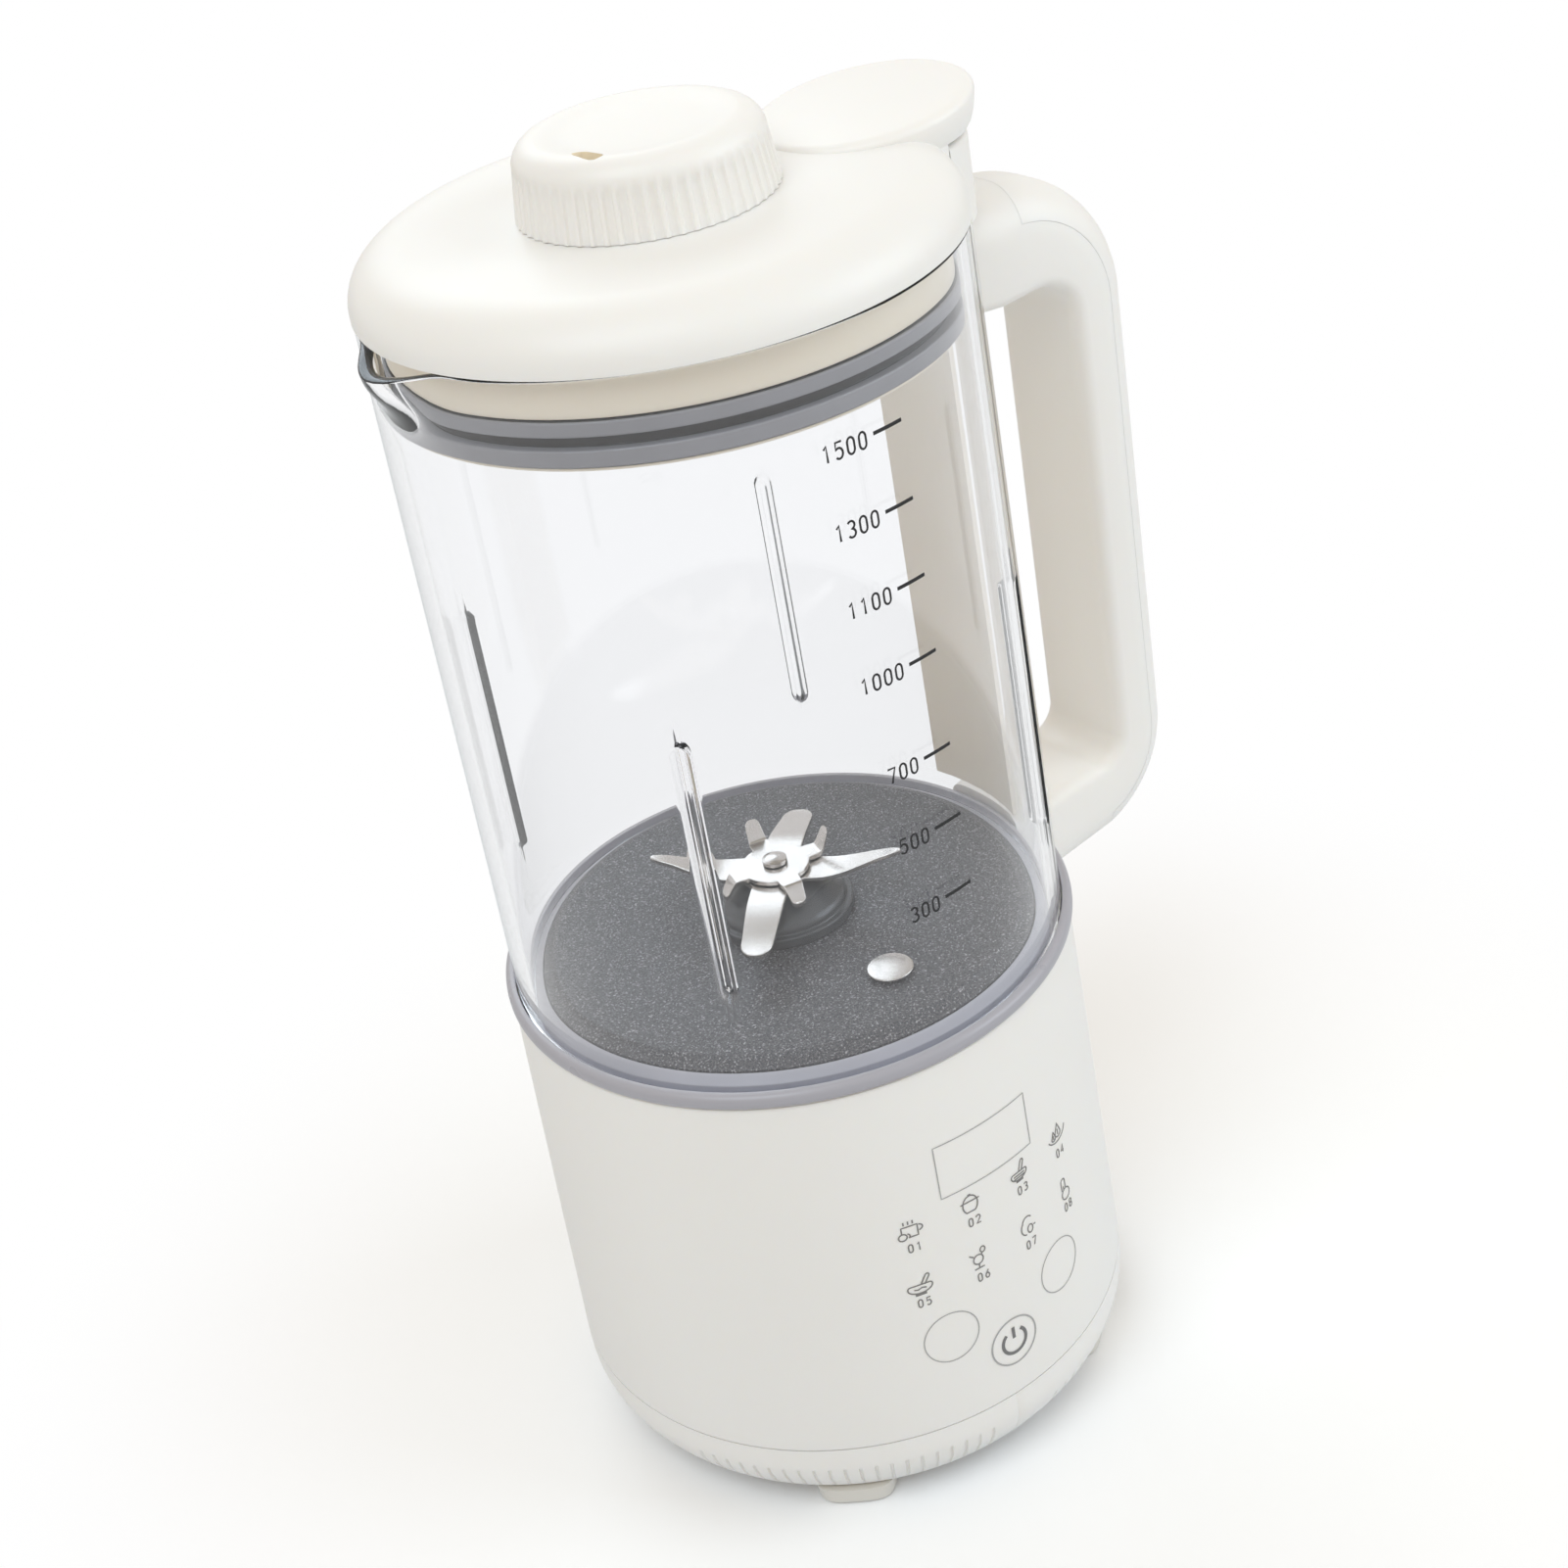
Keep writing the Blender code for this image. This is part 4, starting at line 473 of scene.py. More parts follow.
def moulded(name, colour, roughness, warmth=0.0):
    """Moulded plastic: a fine spark-eroded grain, slow waviness in gloss, and a trace of colour drift."""
    look = Look(name, colour, roughness)
    look.darken(look.noise(9.0, 2.0), 0.985)
    look.vary_roughness(look.noise(55.0, 2.0), roughness - 0.04, roughness + 0.05)
    look.bump(look.noise(2500.0, 2.0), 0.25, 0.00001)
    if warmth:
        look.set("Subsurface Weight", warmth)
        look.set("Subsurface Radius", (0.004, 0.0028, 0.0016))
        look.set("Subsurface Scale", 1.0)
    return look.material


def silicone(name, colour):
    look = Look(name, colour, 0.42)
    look.darken(look.noise(40.0, 3.0), 0.92)
    look.vary_roughness(look.noise(120.0, 2.0), 0.34, 0.50)
    look.bump(look.noise(1800.0, 2.0), 0.2, 0.00001)
    return look.material


def clear_glass(name):
    """Glass with a faint draw along its height, and open to light and shadow that pass through it."""
    look = Look(name, (0.962, 0.966, 0.975), 0.0)
    look.set("Transmission Weight", 1.0)
    look.set("IOR", 1.47)
    look.bump(look.noise(22.0, 1.0, (1.0, 1.0, 0.25)), 0.05, 0.0004)
    tree = look.material.node_tree
    passing = seen_by(tree, "Is Shadow Ray", "Is Diffuse Ray")
    open_glass = tree.nodes.new("ShaderNodeBsdfTransparent")
    open_glass.inputs["Color"].default_value = (0.985, 0.985, 0.985, 1.0)
    choose_surface(tree, passing, look.shader.outputs["BSDF"], open_glass.outputs["BSDF"])
    return look.material


def coated_plate(name):
    """Dark non-stick coating with pale and dark specks under a satin clear layer."""
    look = Look(name, (0.1, 0.1, 0.11), 0.48)
    look.set("Specular IOR Level", 0.32)
    look.ramp(look.noise(2300.0, 1.0), ((0.28, (0.042, 0.041, 0.045)), (0.50, (0.082, 0.080, 0.087)),
                                        (0.62, (0.122, 0.119, 0.128)), (0.74, (0.42, 0.42, 0.44))))
    look.vary_roughness(look.noise(300.0, 3.0), 0.42, 0.56)
    look.bump(look.noise(900.0, 2.0), 0.35, 0.00003)
    return look.material


def brushed(name, colour, roughness, stretch, grain=0.00001):
    """Metal with fine drawn lines along one direction."""
    look = Look(name, colour, roughness, 1.0)
    lines = look.noise(1.0, 4.0, stretch)
    look.vary_roughness(lines, roughness - 0.07, roughness + 0.1)
    look.bump(lines, 0.25, grain)
    return look.material


def ink(name, colour, roughness=0.5):
    look = Look(name, colour, roughness)
    look.darken(look.noise(2200.0, 2.0), 0.86)
    look.bump(look.noise(4000.0, 1.0), 0.15, 0.000005)
    return look.material


def make_looks():
    return {
        "ivory_plastic": moulded("ivory_plastic_look", (0.860, 0.848, 0.824), 0.42, 0.12),
        "cream_plastic": moulded("cream_plastic_look", (0.850, 0.780, 0.665), 0.42, 0.12),
        "grey_ring_plastic": moulded("grey_ring_look", (0.39, 0.385, 0.425), 0.28),
        "grey_silicone": silicone("grey_silicone_look", (0.27, 0.27, 0.295)),
        "gasket_silicone": silicone("gasket_silicone_look", (0.40, 0.405, 0.465)),
        # Painted light: brighter and warmer, for the back strip that sits in shade behind the glass.
        "strip_painted_light": moulded("strip_painted_light_look", (0.96, 0.90, 0.81), 0.42, 0.12),
        # Near-black for the faces in the seal's groove: painted shade in the groove.
        "seal_groove": silicone("seal_groove_painted_shade_look", (0.045, 0.042, 0.042)),
        # Warm tan for the walls of the cap's vent: painted shade in the recess.
        "vent_painted_shade": moulded("vent_painted_shade_look", (0.94, 0.84, 0.66), 0.5),
        "foot_rubber": silicone("foot_rubber_look", (0.76, 0.74, 0.69)),
        "clear_glass": clear_glass("jug_glass_look"),
        "nonstick_coating": coated_plate("plate_coating_look"),
        "dark_housing": moulded("dark_housing_look", (0.060, 0.060, 0.066), 0.26),
        "stainless_steel": brushed("stainless_look", (0.52, 0.485, 0.455), 0.22, (350, 350, 2600), 0.000004),
        "motor_iron": brushed("motor_iron_look", (0.20, 0.20, 0.21), 0.45, (60, 60, 1800)),
        "copper_winding": brushed("copper_winding_look", (0.72, 0.32, 0.16), 0.32, (900, 900, 900)),
        "brass": brushed("brass_look", (0.78, 0.56, 0.27), 0.28, (200, 1500, 200)),
        "carbon": silicone("carbon_look", (0.03, 0.03, 0.03)),
        "cast_aluminium": brushed("cast_aluminium_look", (0.56, 0.56, 0.56), 0.48, (700, 700, 700)),
        "circuit_board": moulded("circuit_board_look", (0.045, 0.19, 0.085), 0.35),
        "black_plastic": moulded("black_plastic_look", (0.03, 0.03, 0.032), 0.38),
        "relay_blue": moulded("relay_blue_look", (0.05, 0.14, 0.40), 0.35),
        "film_amber": moulded("film_amber_look", (0.55, 0.30, 0.05), 0.28),
        "scale_ink": ink("scale_ink", (0.012, 0.011, 0.012), 0.7),
        "panel_ink": ink("panel_ink", (0.22, 0.215, 0.21)),
        "panel_ink_light": ink("panel_ink_light", (0.42, 0.42, 0.42)),
        "panel_ink_dark": ink("panel_ink_dark", (0.18, 0.18, 0.18)),
    }


looks = make_looks()


def look_of(name, node):
    return looks[special_looks.get(name, slots[node])]


def dress_nodes():
    """Gives each node that came over from the frame its look, and smooth shading between sharp edges."""
    for name, node in frame["nodes"].items():
        node.data.materials.clear()
        node.data.materials.append(look_of(name, name))
        node.data.shade_smooth()
        weld = node.modifiers.new("Weld", "WELD")
        weld.merge_threshold = node_weld_reach
        split = node.modifiers.new("Edges", "EDGE_SPLIT")
        split.split_angle = math.radians(node_edge_degrees)


# Mesh tools
def added(name, data):
    """A new object in the scene."""
    made = bpy.data.objects.new(name, data)
    bpy.context.scene.collection.objects.link(made)
    return made


def mesh_data(name, mesh):
    """The data of a mesh that is done with."""
    data = bpy.data.meshes.new(name)
    mesh.to_mesh(data)
    mesh.free()
    return data


def settle(name, mesh, look, body, smooth=True):
    """Makes an object of a mesh that is modelled round the jug's axis, and lets it ride on a body."""
    bmesh.ops.recalc_face_normals(mesh, faces=mesh.faces)
    data = mesh_data(name, mesh)
    data.transform(Matrix.Translation((axis_x, 0, 0)))
    if smooth:
        data.shade_smooth()
        data.set_sharp_from_angle(angle=math.radians(piece_edge_degrees))
    made = added(name, data)
    data.materials.append(look)
    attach(made, body)
    return made


def lofted(rings, ends="closed"):
    """A skin through rings of equal counts: its ends closed, joined to each other, or left open."""
    mesh = bmesh.new()
    loops = [[mesh.verts.new(point) for point in ring] for ring in rings]
    following = loops[1:] + (loops[:1] if ends == "joined" else [])
    for lower, upper in zip(loops, following):
        for index in range(len(lower)):
            after = (index + 1) % len(lower)
            mesh.faces.new((lower[index], lower[after], upper[after], upper[index]))
    if ends == "closed":
        mesh.faces.new(loops[0])
        mesh.faces.new(loops[-1])
    return mesh


def level_rings(rows, turns):
    """Level circles, each of a row's radius and height, with a point at each turn."""
    return [[(*polar(radius, turn), height) for turn in turns] for radius, height in rows]


def turned(outline, steps, centre=(0, 0)):
    """A solid of revolution round an upright axis from a closed outline of radius and height."""
    turns = [360 * step / steps for step in range(steps)]
    mesh = lofted(level_rings(outline, turns), "joined")
    bmesh.ops.remove_doubles(mesh, verts=mesh.verts, dist=weld_reach)
    bmesh.ops.translate(mesh, vec=(*centre, 0), verts=mesh.verts)
    return mesh


def rounded(outline, parts=5):
    """Rounds the corners of an outline; each point says how far its rounding reaches along both edges."""
    smooth = []
    for index, (x, z, reach) in enumerate(outline):
        corner = Vector((x, z))
        if not reach:
            smooth.append(tuple(corner))
            continue
        before = Vector(outline[index - 1][:2])
        after = Vector(outline[(index + 1) % len(outline)][:2])
        start = corner + (before - corner).normalized() * reach
        end = corner + (after - corner).normalized() * reach
        for part in range(parts + 1):
            share = part / parts
            smooth.append(tuple(start.lerp(corner, share).lerp(corner.lerp(end, share), share)))
    return smooth


def box_mesh(low, high):
    mesh = bmesh.new()
    bmesh.ops.create_cube(mesh, size=1.0)
    for vert in mesh.verts:
        vert.co = [mix(low[axis], high[axis], vert.co[axis] + 0.5) for axis in range(3)]
    return mesh


def loose(mesh):
    """A plain object for shaping, before it becomes a piece."""
    bmesh.ops.recalc_face_normals(mesh, faces=mesh.faces)
    return added("shape", mesh_data("shape", mesh))


def taken(shape):
    """The mesh of a loose object, which is done with."""
    mesh = bmesh.new()
    mesh.from_mesh(shape.data)
    bpy.data.objects.remove(shape)
    return mesh


def combine(target, tool_mesh, operation="DIFFERENCE"):
    """Joins or cuts a shape with another one and keeps the result as plain faces."""
    tool = loose(tool_mesh)
    change = target.modifiers.new("Change", "BOOLEAN")
    change.operation = operation
    change.solver = "EXACT"
    change.object = tool
    graph = bpy.context.evaluated_depsgraph_get()
    result = bpy.data.meshes.new_from_object(target.evaluated_get(graph))
    target.modifiers.clear()
    target.data = result
    bpy.data.objects.remove(tool)


def finish_piece(mesh, node):
    """Makes the piece that stands for a node, on the node's body and in its slot."""
    name = f"{node}_fine"
    piece = settle(name, mesh, look_of(name, node), bodies[node])
    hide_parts(node)
    return piece


def turned_piece(node, outline, steps, centre=(0, 0)):
    return finish_piece(turned(rounded(outline), steps, centre), node)


def line_faces(piece, look, chosen):
    """Gives a second look to the faces that are chosen."""
    piece.data.materials.append(look)
    for face in piece.data.polygons:
        if chosen(face):
            face.material_index = 1


def square_point(half_width, half_length, degrees, squareness):
    """A point of a rectangle whose corners are rounded; two is an ellipse and more is squarer."""
    x, y = polar(1, degrees)
    power = 2 / squareness
    return half_width * math.copysign(abs(x) ** power, x), half_length * math.copysign(abs(y) ** power, y)


# Jug
def jug_radius(height):
    return mix(jug_base_radius, jug_mouth_radius, (height - jug_bottom) / (rim_height - jug_bottom))


def rib_share(degrees, height):
    """How deep the wall is pressed in at a place: a stadium with round ends."""
    turn = min(abs((degrees - rib + 180) % 360 - 180) for rib in rib_angles)
    half_width = math.radians(rib_half_degrees) * jug_base_radius
    across = math.radians(turn) * jug_base_radius
    along = max(rib_low + half_width - height, height - (rib_high - half_width), 0.0)
    reach = math.hypot(across, along)
    return smooth_share((half_width - reach) / half_width * rib_steepness)


def jug_point(degrees, height, inset):
    """A point of the glass, pressed in at the ribs, and drawn out and a little down at the spout."""
    turn = abs(degrees % 360 - 180)
    rise = smooth_share((height - spout_foot) / spout_depth)
    lean = smooth_share((spout_half_degrees - turn) / spout_half_degrees) * rise ** spout_curve
    radius = jug_radius(height) + spout_reach * lean - inset - rib_depth * rib_share(degrees, height)
    x, y = polar(radius, degrees)
    return x, y, height - spout_drop * lean * rise


def graded(start, end, parts):
    return [mix(start, end, part / parts) for part in range(parts)]


def jug_angles():
    """Upright lines of the wall: about two degrees apart, and a quarter of a degree over each rib."""
    angles = []
    following = (*rib_angles[1:], rib_angles[0] + 360)
    for rib, after in zip(rib_angles, following):
        angles += graded(rib - rib_line_reach, rib + rib_line_reach, rib_lines)
        angles += graded(rib + rib_line_reach, after - rib_line_reach, wall_lines)
    return angles


def build_glass():
    """The jug's wall: rows that crowd at the ends of the ribs and at the spout, and a rounded rim."""
    rim_foot = rim_height - rim_round
    stops = (
        (jug_bottom, 4),
        (rib_low, 10),
        (rib_low + rib_end, 6),
        (rib_high - rib_end, 10),
        (rib_high, 8),
        (spout_foot, 18),
        (rim_foot, 1),
    )
    heights = []
    for (start, parts), (end, _) in zip(stops, stops[1:]):
        heights += graded(start, end, parts)
    heights.append(rim_foot)
    angles = jug_angles()
    rings = [[jug_point(turn, height, 0) for turn in angles] for height in heights]
    for degrees in range(30, 180, 30):
        turn = math.radians(degrees)
        inset = jug_wall / 2 * (1 - math.cos(turn))
        lift = Vector((0, 0, rim_round * math.sin(turn)))
        rings.append([Vector(jug_point(angle, rim_foot, inset)) + lift for angle in angles])
    rings += [[jug_point(turn, height, jug_wall) for turn in angles] for height in reversed(heights)]
    finish_piece(lofted(rings, "joined"), "jug_glass")


# Foot of the jug
def build_base_rings():
    """Ring, gasket and plate: what closes the foot of the jug."""
    ring_inner = jug_base_radius + gap
    turned_piece("jug_ring", [
        (ring_inner, ring_low.z, 0),
        (deck_radius, ring_low.z, 0),
        (ring_high.y, ring_low.z + ring_edge, ring_edge_round),
        (ring_high.y, ring_high.z, ring_round),
        (ring_inner, ring_high.z, gap),
    ], wall_steps)
    rim = plate_high.y
    top = plate_high.z
    inner = rim + gap
    lip = jug_base_radius - jug_wall - gap
    turned_piece("jug_gasket", [
        (inner, deck + gap, 0),
        (jug_base_radius, deck + gap, 0),
        (jug_base_radius, jug_bottom - gap, 0),
        (lip, jug_bottom - gap, 0),
        (lip, deck + gasket_outer_height, gap),
        (inner, gasket_top, gap),
    ], wall_steps)
    turned_piece("heating_plate", [
        (plate_hole_radius, top, gap),
        (rim - plate_rim_width, top, plate_edge),
        (rim - plate_rim_width + plate_step_width, top - plate_step_depth, plate_edge),
        (rim, deck + plate_rim_height, plate_edge),
        (rim, plate_low.z, 0),
        (rim - plate_skirt, plate_low.z, 0),
        (rim - plate_skirt, top - plate_thickness, 0),
        (plate_hole_radius, top - plate_thickness, 0),
    ], wall_steps)


def build_housing():
    """The stepped boss, with a soft shoulder like a moulding."""
    base = plate_high.z + gap
    flange_top = base + housing_flange_height
    shoulder = base + housing_body_height
    stem = plate_hole_radius - gap
    turned_piece("shaft_housing", [
        (housing_high.y, base, 0),
        (housing_high.y, flange_top, housing_edge),
        (housing_body_radius, flange_top, housing_edge),
        (housing_body_radius, shoulder, housing_shoulder_round),
        (housing_top_radius, housing_high.z, housing_top_round),
        (housing_mouth_radius, housing_high.z, gap),
        (housing_mouth_radius, shoulder, 0),
        (housing_bore_radius, shoulder, 0),
        (housing_bore_radius, housing_low.z, 0),
        (stem, housing_low.z, 0),
        (stem, base, 0),
    ], boss_steps)


def build_probe():
    """The steel button in the plate, with a soft edge."""
    low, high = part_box("temperature_probe")
    radius = (high.x - low.x) / 2
    seat = high.z - probe_rise
    turned_piece("temperature_probe", [
        (0, low.z, 0),
        (probe_stem_radius, low.z, 0),
        (probe_stem_radius, seat, 0),
        (radius, seat, 0),
        (radius, high.z - probe_crown, probe_crown),
        (0, high.z, 0),
    ], small_steps, middle_of(low, high))


def blade_cross(hub_radius, root_width, tip_widths, reach, rises, first_degrees, height, level_share):
    """A bored hub with four arms; each bends toward its own rise, narrows, and has a rounded tip."""
    mesh = bmesh.new()
    half = math.degrees(math.asin(root_width / 2 / hub_radius))
    middles = [first_degrees + 90 * number for number in range(len(rises))]
    turns = []
    for middle in middles:
        turns += [middle - half, middle, middle + half]
        turns += [mix(middle + half, middle + 90 - half, share) for share in (0.25, 0.5, 0.75)]
    per_arm = len(turns) // len(rises)
    inner = [mesh.verts.new((*polar(blade_bore_radius, turn), height)) for turn in turns]
    outer = [mesh.verts.new((*polar(hub_radius, turn), height)) for turn in turns]
    for index in range(len(turns)):
        after = (index + 1) % len(turns)
        mesh.faces.new((inner[index], outer[index], outer[after], inner[after]))
    for number, (middle, rise, tip_width) in enumerate(zip(middles, rises, tip_widths)):
        along = Vector(polar(1, middle))
        across = Vector(polar(1, middle + 90))
        edge = outer[number * per_arm: number * per_arm + 3]
        for row in range(1, blade_rows + 1):
            way = 1 - (1 - row / blade_rows) ** blade_crowding
            bend = smooth_share((way - level_share) / (blade_bend_end_share - level_share))
            width = mix(root_width, tip_width, smooth_share(way * blade_narrow_share))
            tip = max(0.0, (way - blade_tip_share) / (1 - blade_tip_share))
            width *= math.sqrt(max(1 - tip * tip * blade_tip_fullness, 0.0))
            centre = along * mix(hub_radius, reach, way)
            side = across * width / 2
            level = height + rise * bend
            after = [mesh.verts.new((*(centre + side * share), level)) for share in (-1, 0, 1)]
            for index in range(2):
                mesh.faces.new((edge[index], edge[index + 1], after[index + 1], after[index]))
            edge = after
    sheet = mesh.verts[:] + mesh.edges[:] + mesh.faces[:]
    drawn = bmesh.ops.extrude_face_region(mesh, geom=sheet, use_keep_orig=True)
    raised = [item for item in drawn["geom"] if isinstance(item, bmesh.types.BMVert)]
    bmesh.ops.translate(mesh, vec=(0, 0, blade_thickness), verts=raised)
    return mesh


def soften(piece, width):
    """Breaks the sharp edges of a piece, as stamping does."""
    bevel = piece.modifiers.new("Edges", "BEVEL")
    bevel.width = width
    bevel.segments = 2
    bevel.limit_method = "ANGLE"
    bevel.angle_limit = math.radians(blade_edge_degrees)


def build_blades():
    """Two crosses on one shaft; how far their arms rise and fall comes from the frame."""
    low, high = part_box("long_blades")
    lift = high.z - blade_thickness - long_height
    fall = low.z - long_height
    tips = (long_low_tip_width, long_high_tip_width) * 2
    cross = blade_cross(long_hub_radius, long_root_width, tips, long_reach, (fall, lift, fall, lift),
                        long_first_degrees, long_height, long_level_share)
    soften(finish_piece(cross, "long_blades"), blade_edge)
    low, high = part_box("short_blades")
    lift = high.z - blade_thickness - short_height
    fall = low.z - short_height
    cross = blade_cross(short_hub_radius, short_root_width, (short_tip_width,) * 4, short_reach,
                        (lift, fall, fall, lift), short_first_degrees, short_height, short_level_share)
    soften(finish_piece(cross, "short_blades"), blade_edge)


# Cap
def knurl_ring(radius, height, depth):
    """A level ring with narrow raised ridges between broad lands."""
    steps = cap_rib_count * cap_rib_lines
    points = []
    for step in range(steps):
        phase = (step % cap_rib_lines) / cap_rib_lines
        ridge = smooth_share((cap_rib_foot_share - min(phase, 1 - phase)) / cap_rib_slope_share)
        points.append((*polar(radius - depth * (1 - ridge), 360 * step / steps), height))
    return points


def build_cap():
    """The knurled filling cap: grooved band, round shoulder, dished top and a vent slot."""
    radius = cap_high.y
    low = cap_low.z - cap_foot_drop
    foot = low + cap_edge
    top = cap_high.z
    rim = mix(cap_dish_radius, cap_band_radius, cap_rim_share)
    shoulder = low + cap_band_height
    inside = cap_band_radius - cap_wall - cap_rib_depth
    rings = [
        knurl_ring(inside - cap_wall, cap_ceiling, 0),
        knurl_ring(inside, cap_ceiling - cap_wall, 0),
        knurl_ring(inside, low, 0),
        knurl_ring(radius - cap_rib_depth * 0.5, low, cap_rib_depth * 0.5),
        knurl_ring(radius, foot, cap_rib_depth),
    ]
    for share in (0.25, 0.5, 0.75, 0.9):
        height = mix(foot, shoulder, share)
        rings.append(knurl_ring(mix(radius, cap_band_radius, share), height, cap_rib_depth))
    rings.append(knurl_ring(cap_band_radius, shoulder, cap_rib_depth * 0.4))
    for inward, up in quarter(6)[1:]:
        rings.append(knurl_ring(mix(cap_band_radius, rim, inward), mix(shoulder, top, up), 0))
    for share in (0.0, 0.2, 0.45, 0.7, 1.0):
        out = mix(cap_dish_radius + cap_dish_lip, cap_dish_radius - cap_dish_slope, share)
        rings.append(knurl_ring(out, top - cap_dish_depth * smooth_share(share), 0))
    shape = loose(lofted(rings))
    turn = Matrix.Rotation(math.radians(vent_degrees), 4, "Z")
    tilt = Matrix.Rotation(math.radians(vent_tilt_degrees), 4, "Z")
    place = turn @ Matrix.Translation((vent_place, 0, 0)) @ tilt
    sizes = (vent_width / 2, vent_length / 2)
    slot = [square_point(*sizes, degrees, vent_squareness) for degrees in range(0, 360, 10)]
    levels = (low, top + cap_wall)
    combine(shape, lofted([[place @ Vector((x, y, level)) for x, y in slot] for level in levels]))
    middle = Vector(polar(vent_place, vent_degrees)) + Vector((axis_x, 0))

    def in_vent(face):
        beside = (face.center.xy - middle).length < vent_reach
        return beside and face.center.z > cap_ceiling - gap and abs(face.normal.z) < upright_limit

    # Painted shade: the vent's walls get a warm tan, as a recess in shade.
    line_faces(finish_piece(taken(shape), "cap_shell"), looks["vent_painted_shade"], in_vent)


# Lid
def tab_ring(radius, level):
    """One level of the lid's tab: a circle that lies tilted, higher at its outer end."""
    ring = []
    for step in range(boss_steps):
        x, y = polar(radius, 360 * step / boss_steps)
        tilt = tab_tilt * (x + tab_radius) * smooth_share((level + tab_bottom_drop) / tab_bottom_drop)
        ring.append((tab_centre + x, y, lid_top + level + tilt))
    return ring


def tab_mesh():
    """The tab: a slightly tilted round plate with a rounded rim, a belly and a root down the lid's side."""
    rings = [
        tab_ring(tab_bottom_radius, lid_low.z - lid_top),
        tab_ring(tab_bottom_radius, -tab_bottom_drop),
    ]
    for out_share, drop_share in tab_belly_shares:
        rings.append(tab_ring(mix(tab_bottom_radius, tab_radius, out_share), -tab_bottom_drop * drop_share))
    rings.append(tab_ring(tab_radius, -tab_edge_drop))
    for inward, up in quarter(6)[1:]:
        rings.append(tab_ring(tab_radius - tab_edge * inward, mix(-tab_edge_drop, tab_crown, up)))
    return lofted(rings)


def build_lid():
    """The lid: a low dome with a soft shoulder, and the round tab toward the handle."""
    low = lid_low.z
    side = axis_x - lid_low.x
    edge = low + lid_side_height
    under = lid_top - lid_wall

    def dome(inset, ceiling, parts):
        """The dome's shoulder from its foot to its top, at an inset from the outer face."""
        reach = lid_round - inset
        return [(side - inset - reach * inward, mix(edge, ceiling, up)) for inward, up in quarter(parts)]

    outline = [(side, low), *dome(0, lid_top, 12), (lid_hole_radius, lid_top), (lid_hole_radius, under)]
    outline += [*dome(lid_wall, under, 4)[::-1], (side - lid_wall, low)]
    shape = loose(turned(outline, wall_steps))
    tab = loose(tab_mesh())
    near = cap_high.y + tab_cap_clearance
    far = tab_centre + tab_radius + lid_wall
    above = cap_high.z
    belly = lid_top - tab_bottom_drop
    middle = lid_top - lid_wall / 2
    limit = [(near, middle), *dome(lid_wall / 2, middle, 6)[::-1], (side - lid_wall / 2, low)]
    limit += [(side, low), (side, belly), (far, belly), (far, above), (near, above)]
    combine(tab, turned(limit, wall_steps), "INTERSECT")
    combine(shape, taken(tab), "UNION")
    magnet_low, magnet_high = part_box("lid_magnet")
    across = (magnet_high.y - magnet_low.y) / 2 + gap
    bottom = low - gap
    ceiling = magnet_high.z + gap
    pocket = [(0, bottom), (across, bottom), (across, ceiling), (0, ceiling)]
    combine(shape, turned(pocket, pocket_steps, middle_of(magnet_low, magnet_high)))
    finish_piece(taken(shape), "lid_shell")


def build_plug_and_seal():
    """The lid's skirt with its seat, and the two-lipped sleeve seal on it."""
    plug_low, plug_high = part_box("lid_plug")
    seal_low, seal_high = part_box("lid_seal")
    radius = plug_high.y - plug_rim_lip
    seat = radius - plug_seal_seat
    floor = plug_low.z + plug_wall
    lip_foot = plug_high.z - plug_lip_thickness
    turned_piece("lid_plug", [
        (tube_radius + gap, plug_low.z, 0),
        (radius, plug_low.z, gap),
        (radius, seal_low.z - gap, 0),
        (seat, seal_low.z - gap, 0),
        (seat, seal_high.z + gap, 0),
        (radius, seal_high.z + gap, gap),
        (radius, lip_foot, gap),
        (plug_high.y, lip_foot, 0),
        (plug_high.y, plug_high.z, 0),
        (radius - plug_wall, plug_high.z, 0),
        (seat - plug_wall, seal_high.z + gap, 0),
        (seat - plug_wall, floor, 0),
        (tube_radius + gap, floor, 0),
    ], skirt_steps)
    lip = seal_high.y
    groove = lip - seal_groove
    groove_low = seal_low.z + seal_lower_lip
    groove_high = seal_high.z - seal_upper_lip
    sleeve = turned_piece("lid_seal", [
        (seat + gap, seal_low.z, 0),
        (lip, seal_low.z, seal_edge),
        (lip, groove_low, seal_edge),
        (groove, groove_low, seal_groove_edge),
        (groove, groove_high, seal_groove_edge),
        (lip, groove_high, seal_edge),
        (lip, seal_high.z, seal_edge),
        (seat + gap, seal_high.z, 0),
    ], skirt_steps)

    def in_groove(face):
        return math.hypot(face.center.x - axis_x, face.center.y) < groove + seal_edge

    # Painted shade: the groove's faces get a near-black look.
    line_faces(sleeve, looks["seal_groove"], in_groove)


# Base
def build_shell():
    """The tapered base wall with its deck and the opening for the power inlet."""
    inner = deck_radius - base_wall
    ledge = deck_radius - deck_ledge
    shape = loose(turned(rounded([
        (seam_radius, seam, gap / 2),
        (deck_radius, deck, deck_edge_round),
        (ledge, deck, 0),
        (ledge, deck - deck_thickness, 0),
        (inner, deck - deck_thickness, 0),
        (seam_radius - base_wall, seam, 0),
    ]), wall_steps))
    low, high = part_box("power_inlet")
    outside = seam_radius * 1.1
    bezel_face = high.y - inlet_bezel_thickness - gap
    for inset, face in ((0, bezel_face), (inlet_bezel, inner - base_wall)):
        across = (high.x - low.x) / 2 + gap - inset
        cutter = box_mesh((-across, face, low.z - gap + inset), (across, outside, high.z + gap - inset))
        combine(shape, cutter)
    finish_piece(taken(shape), "base_shell")


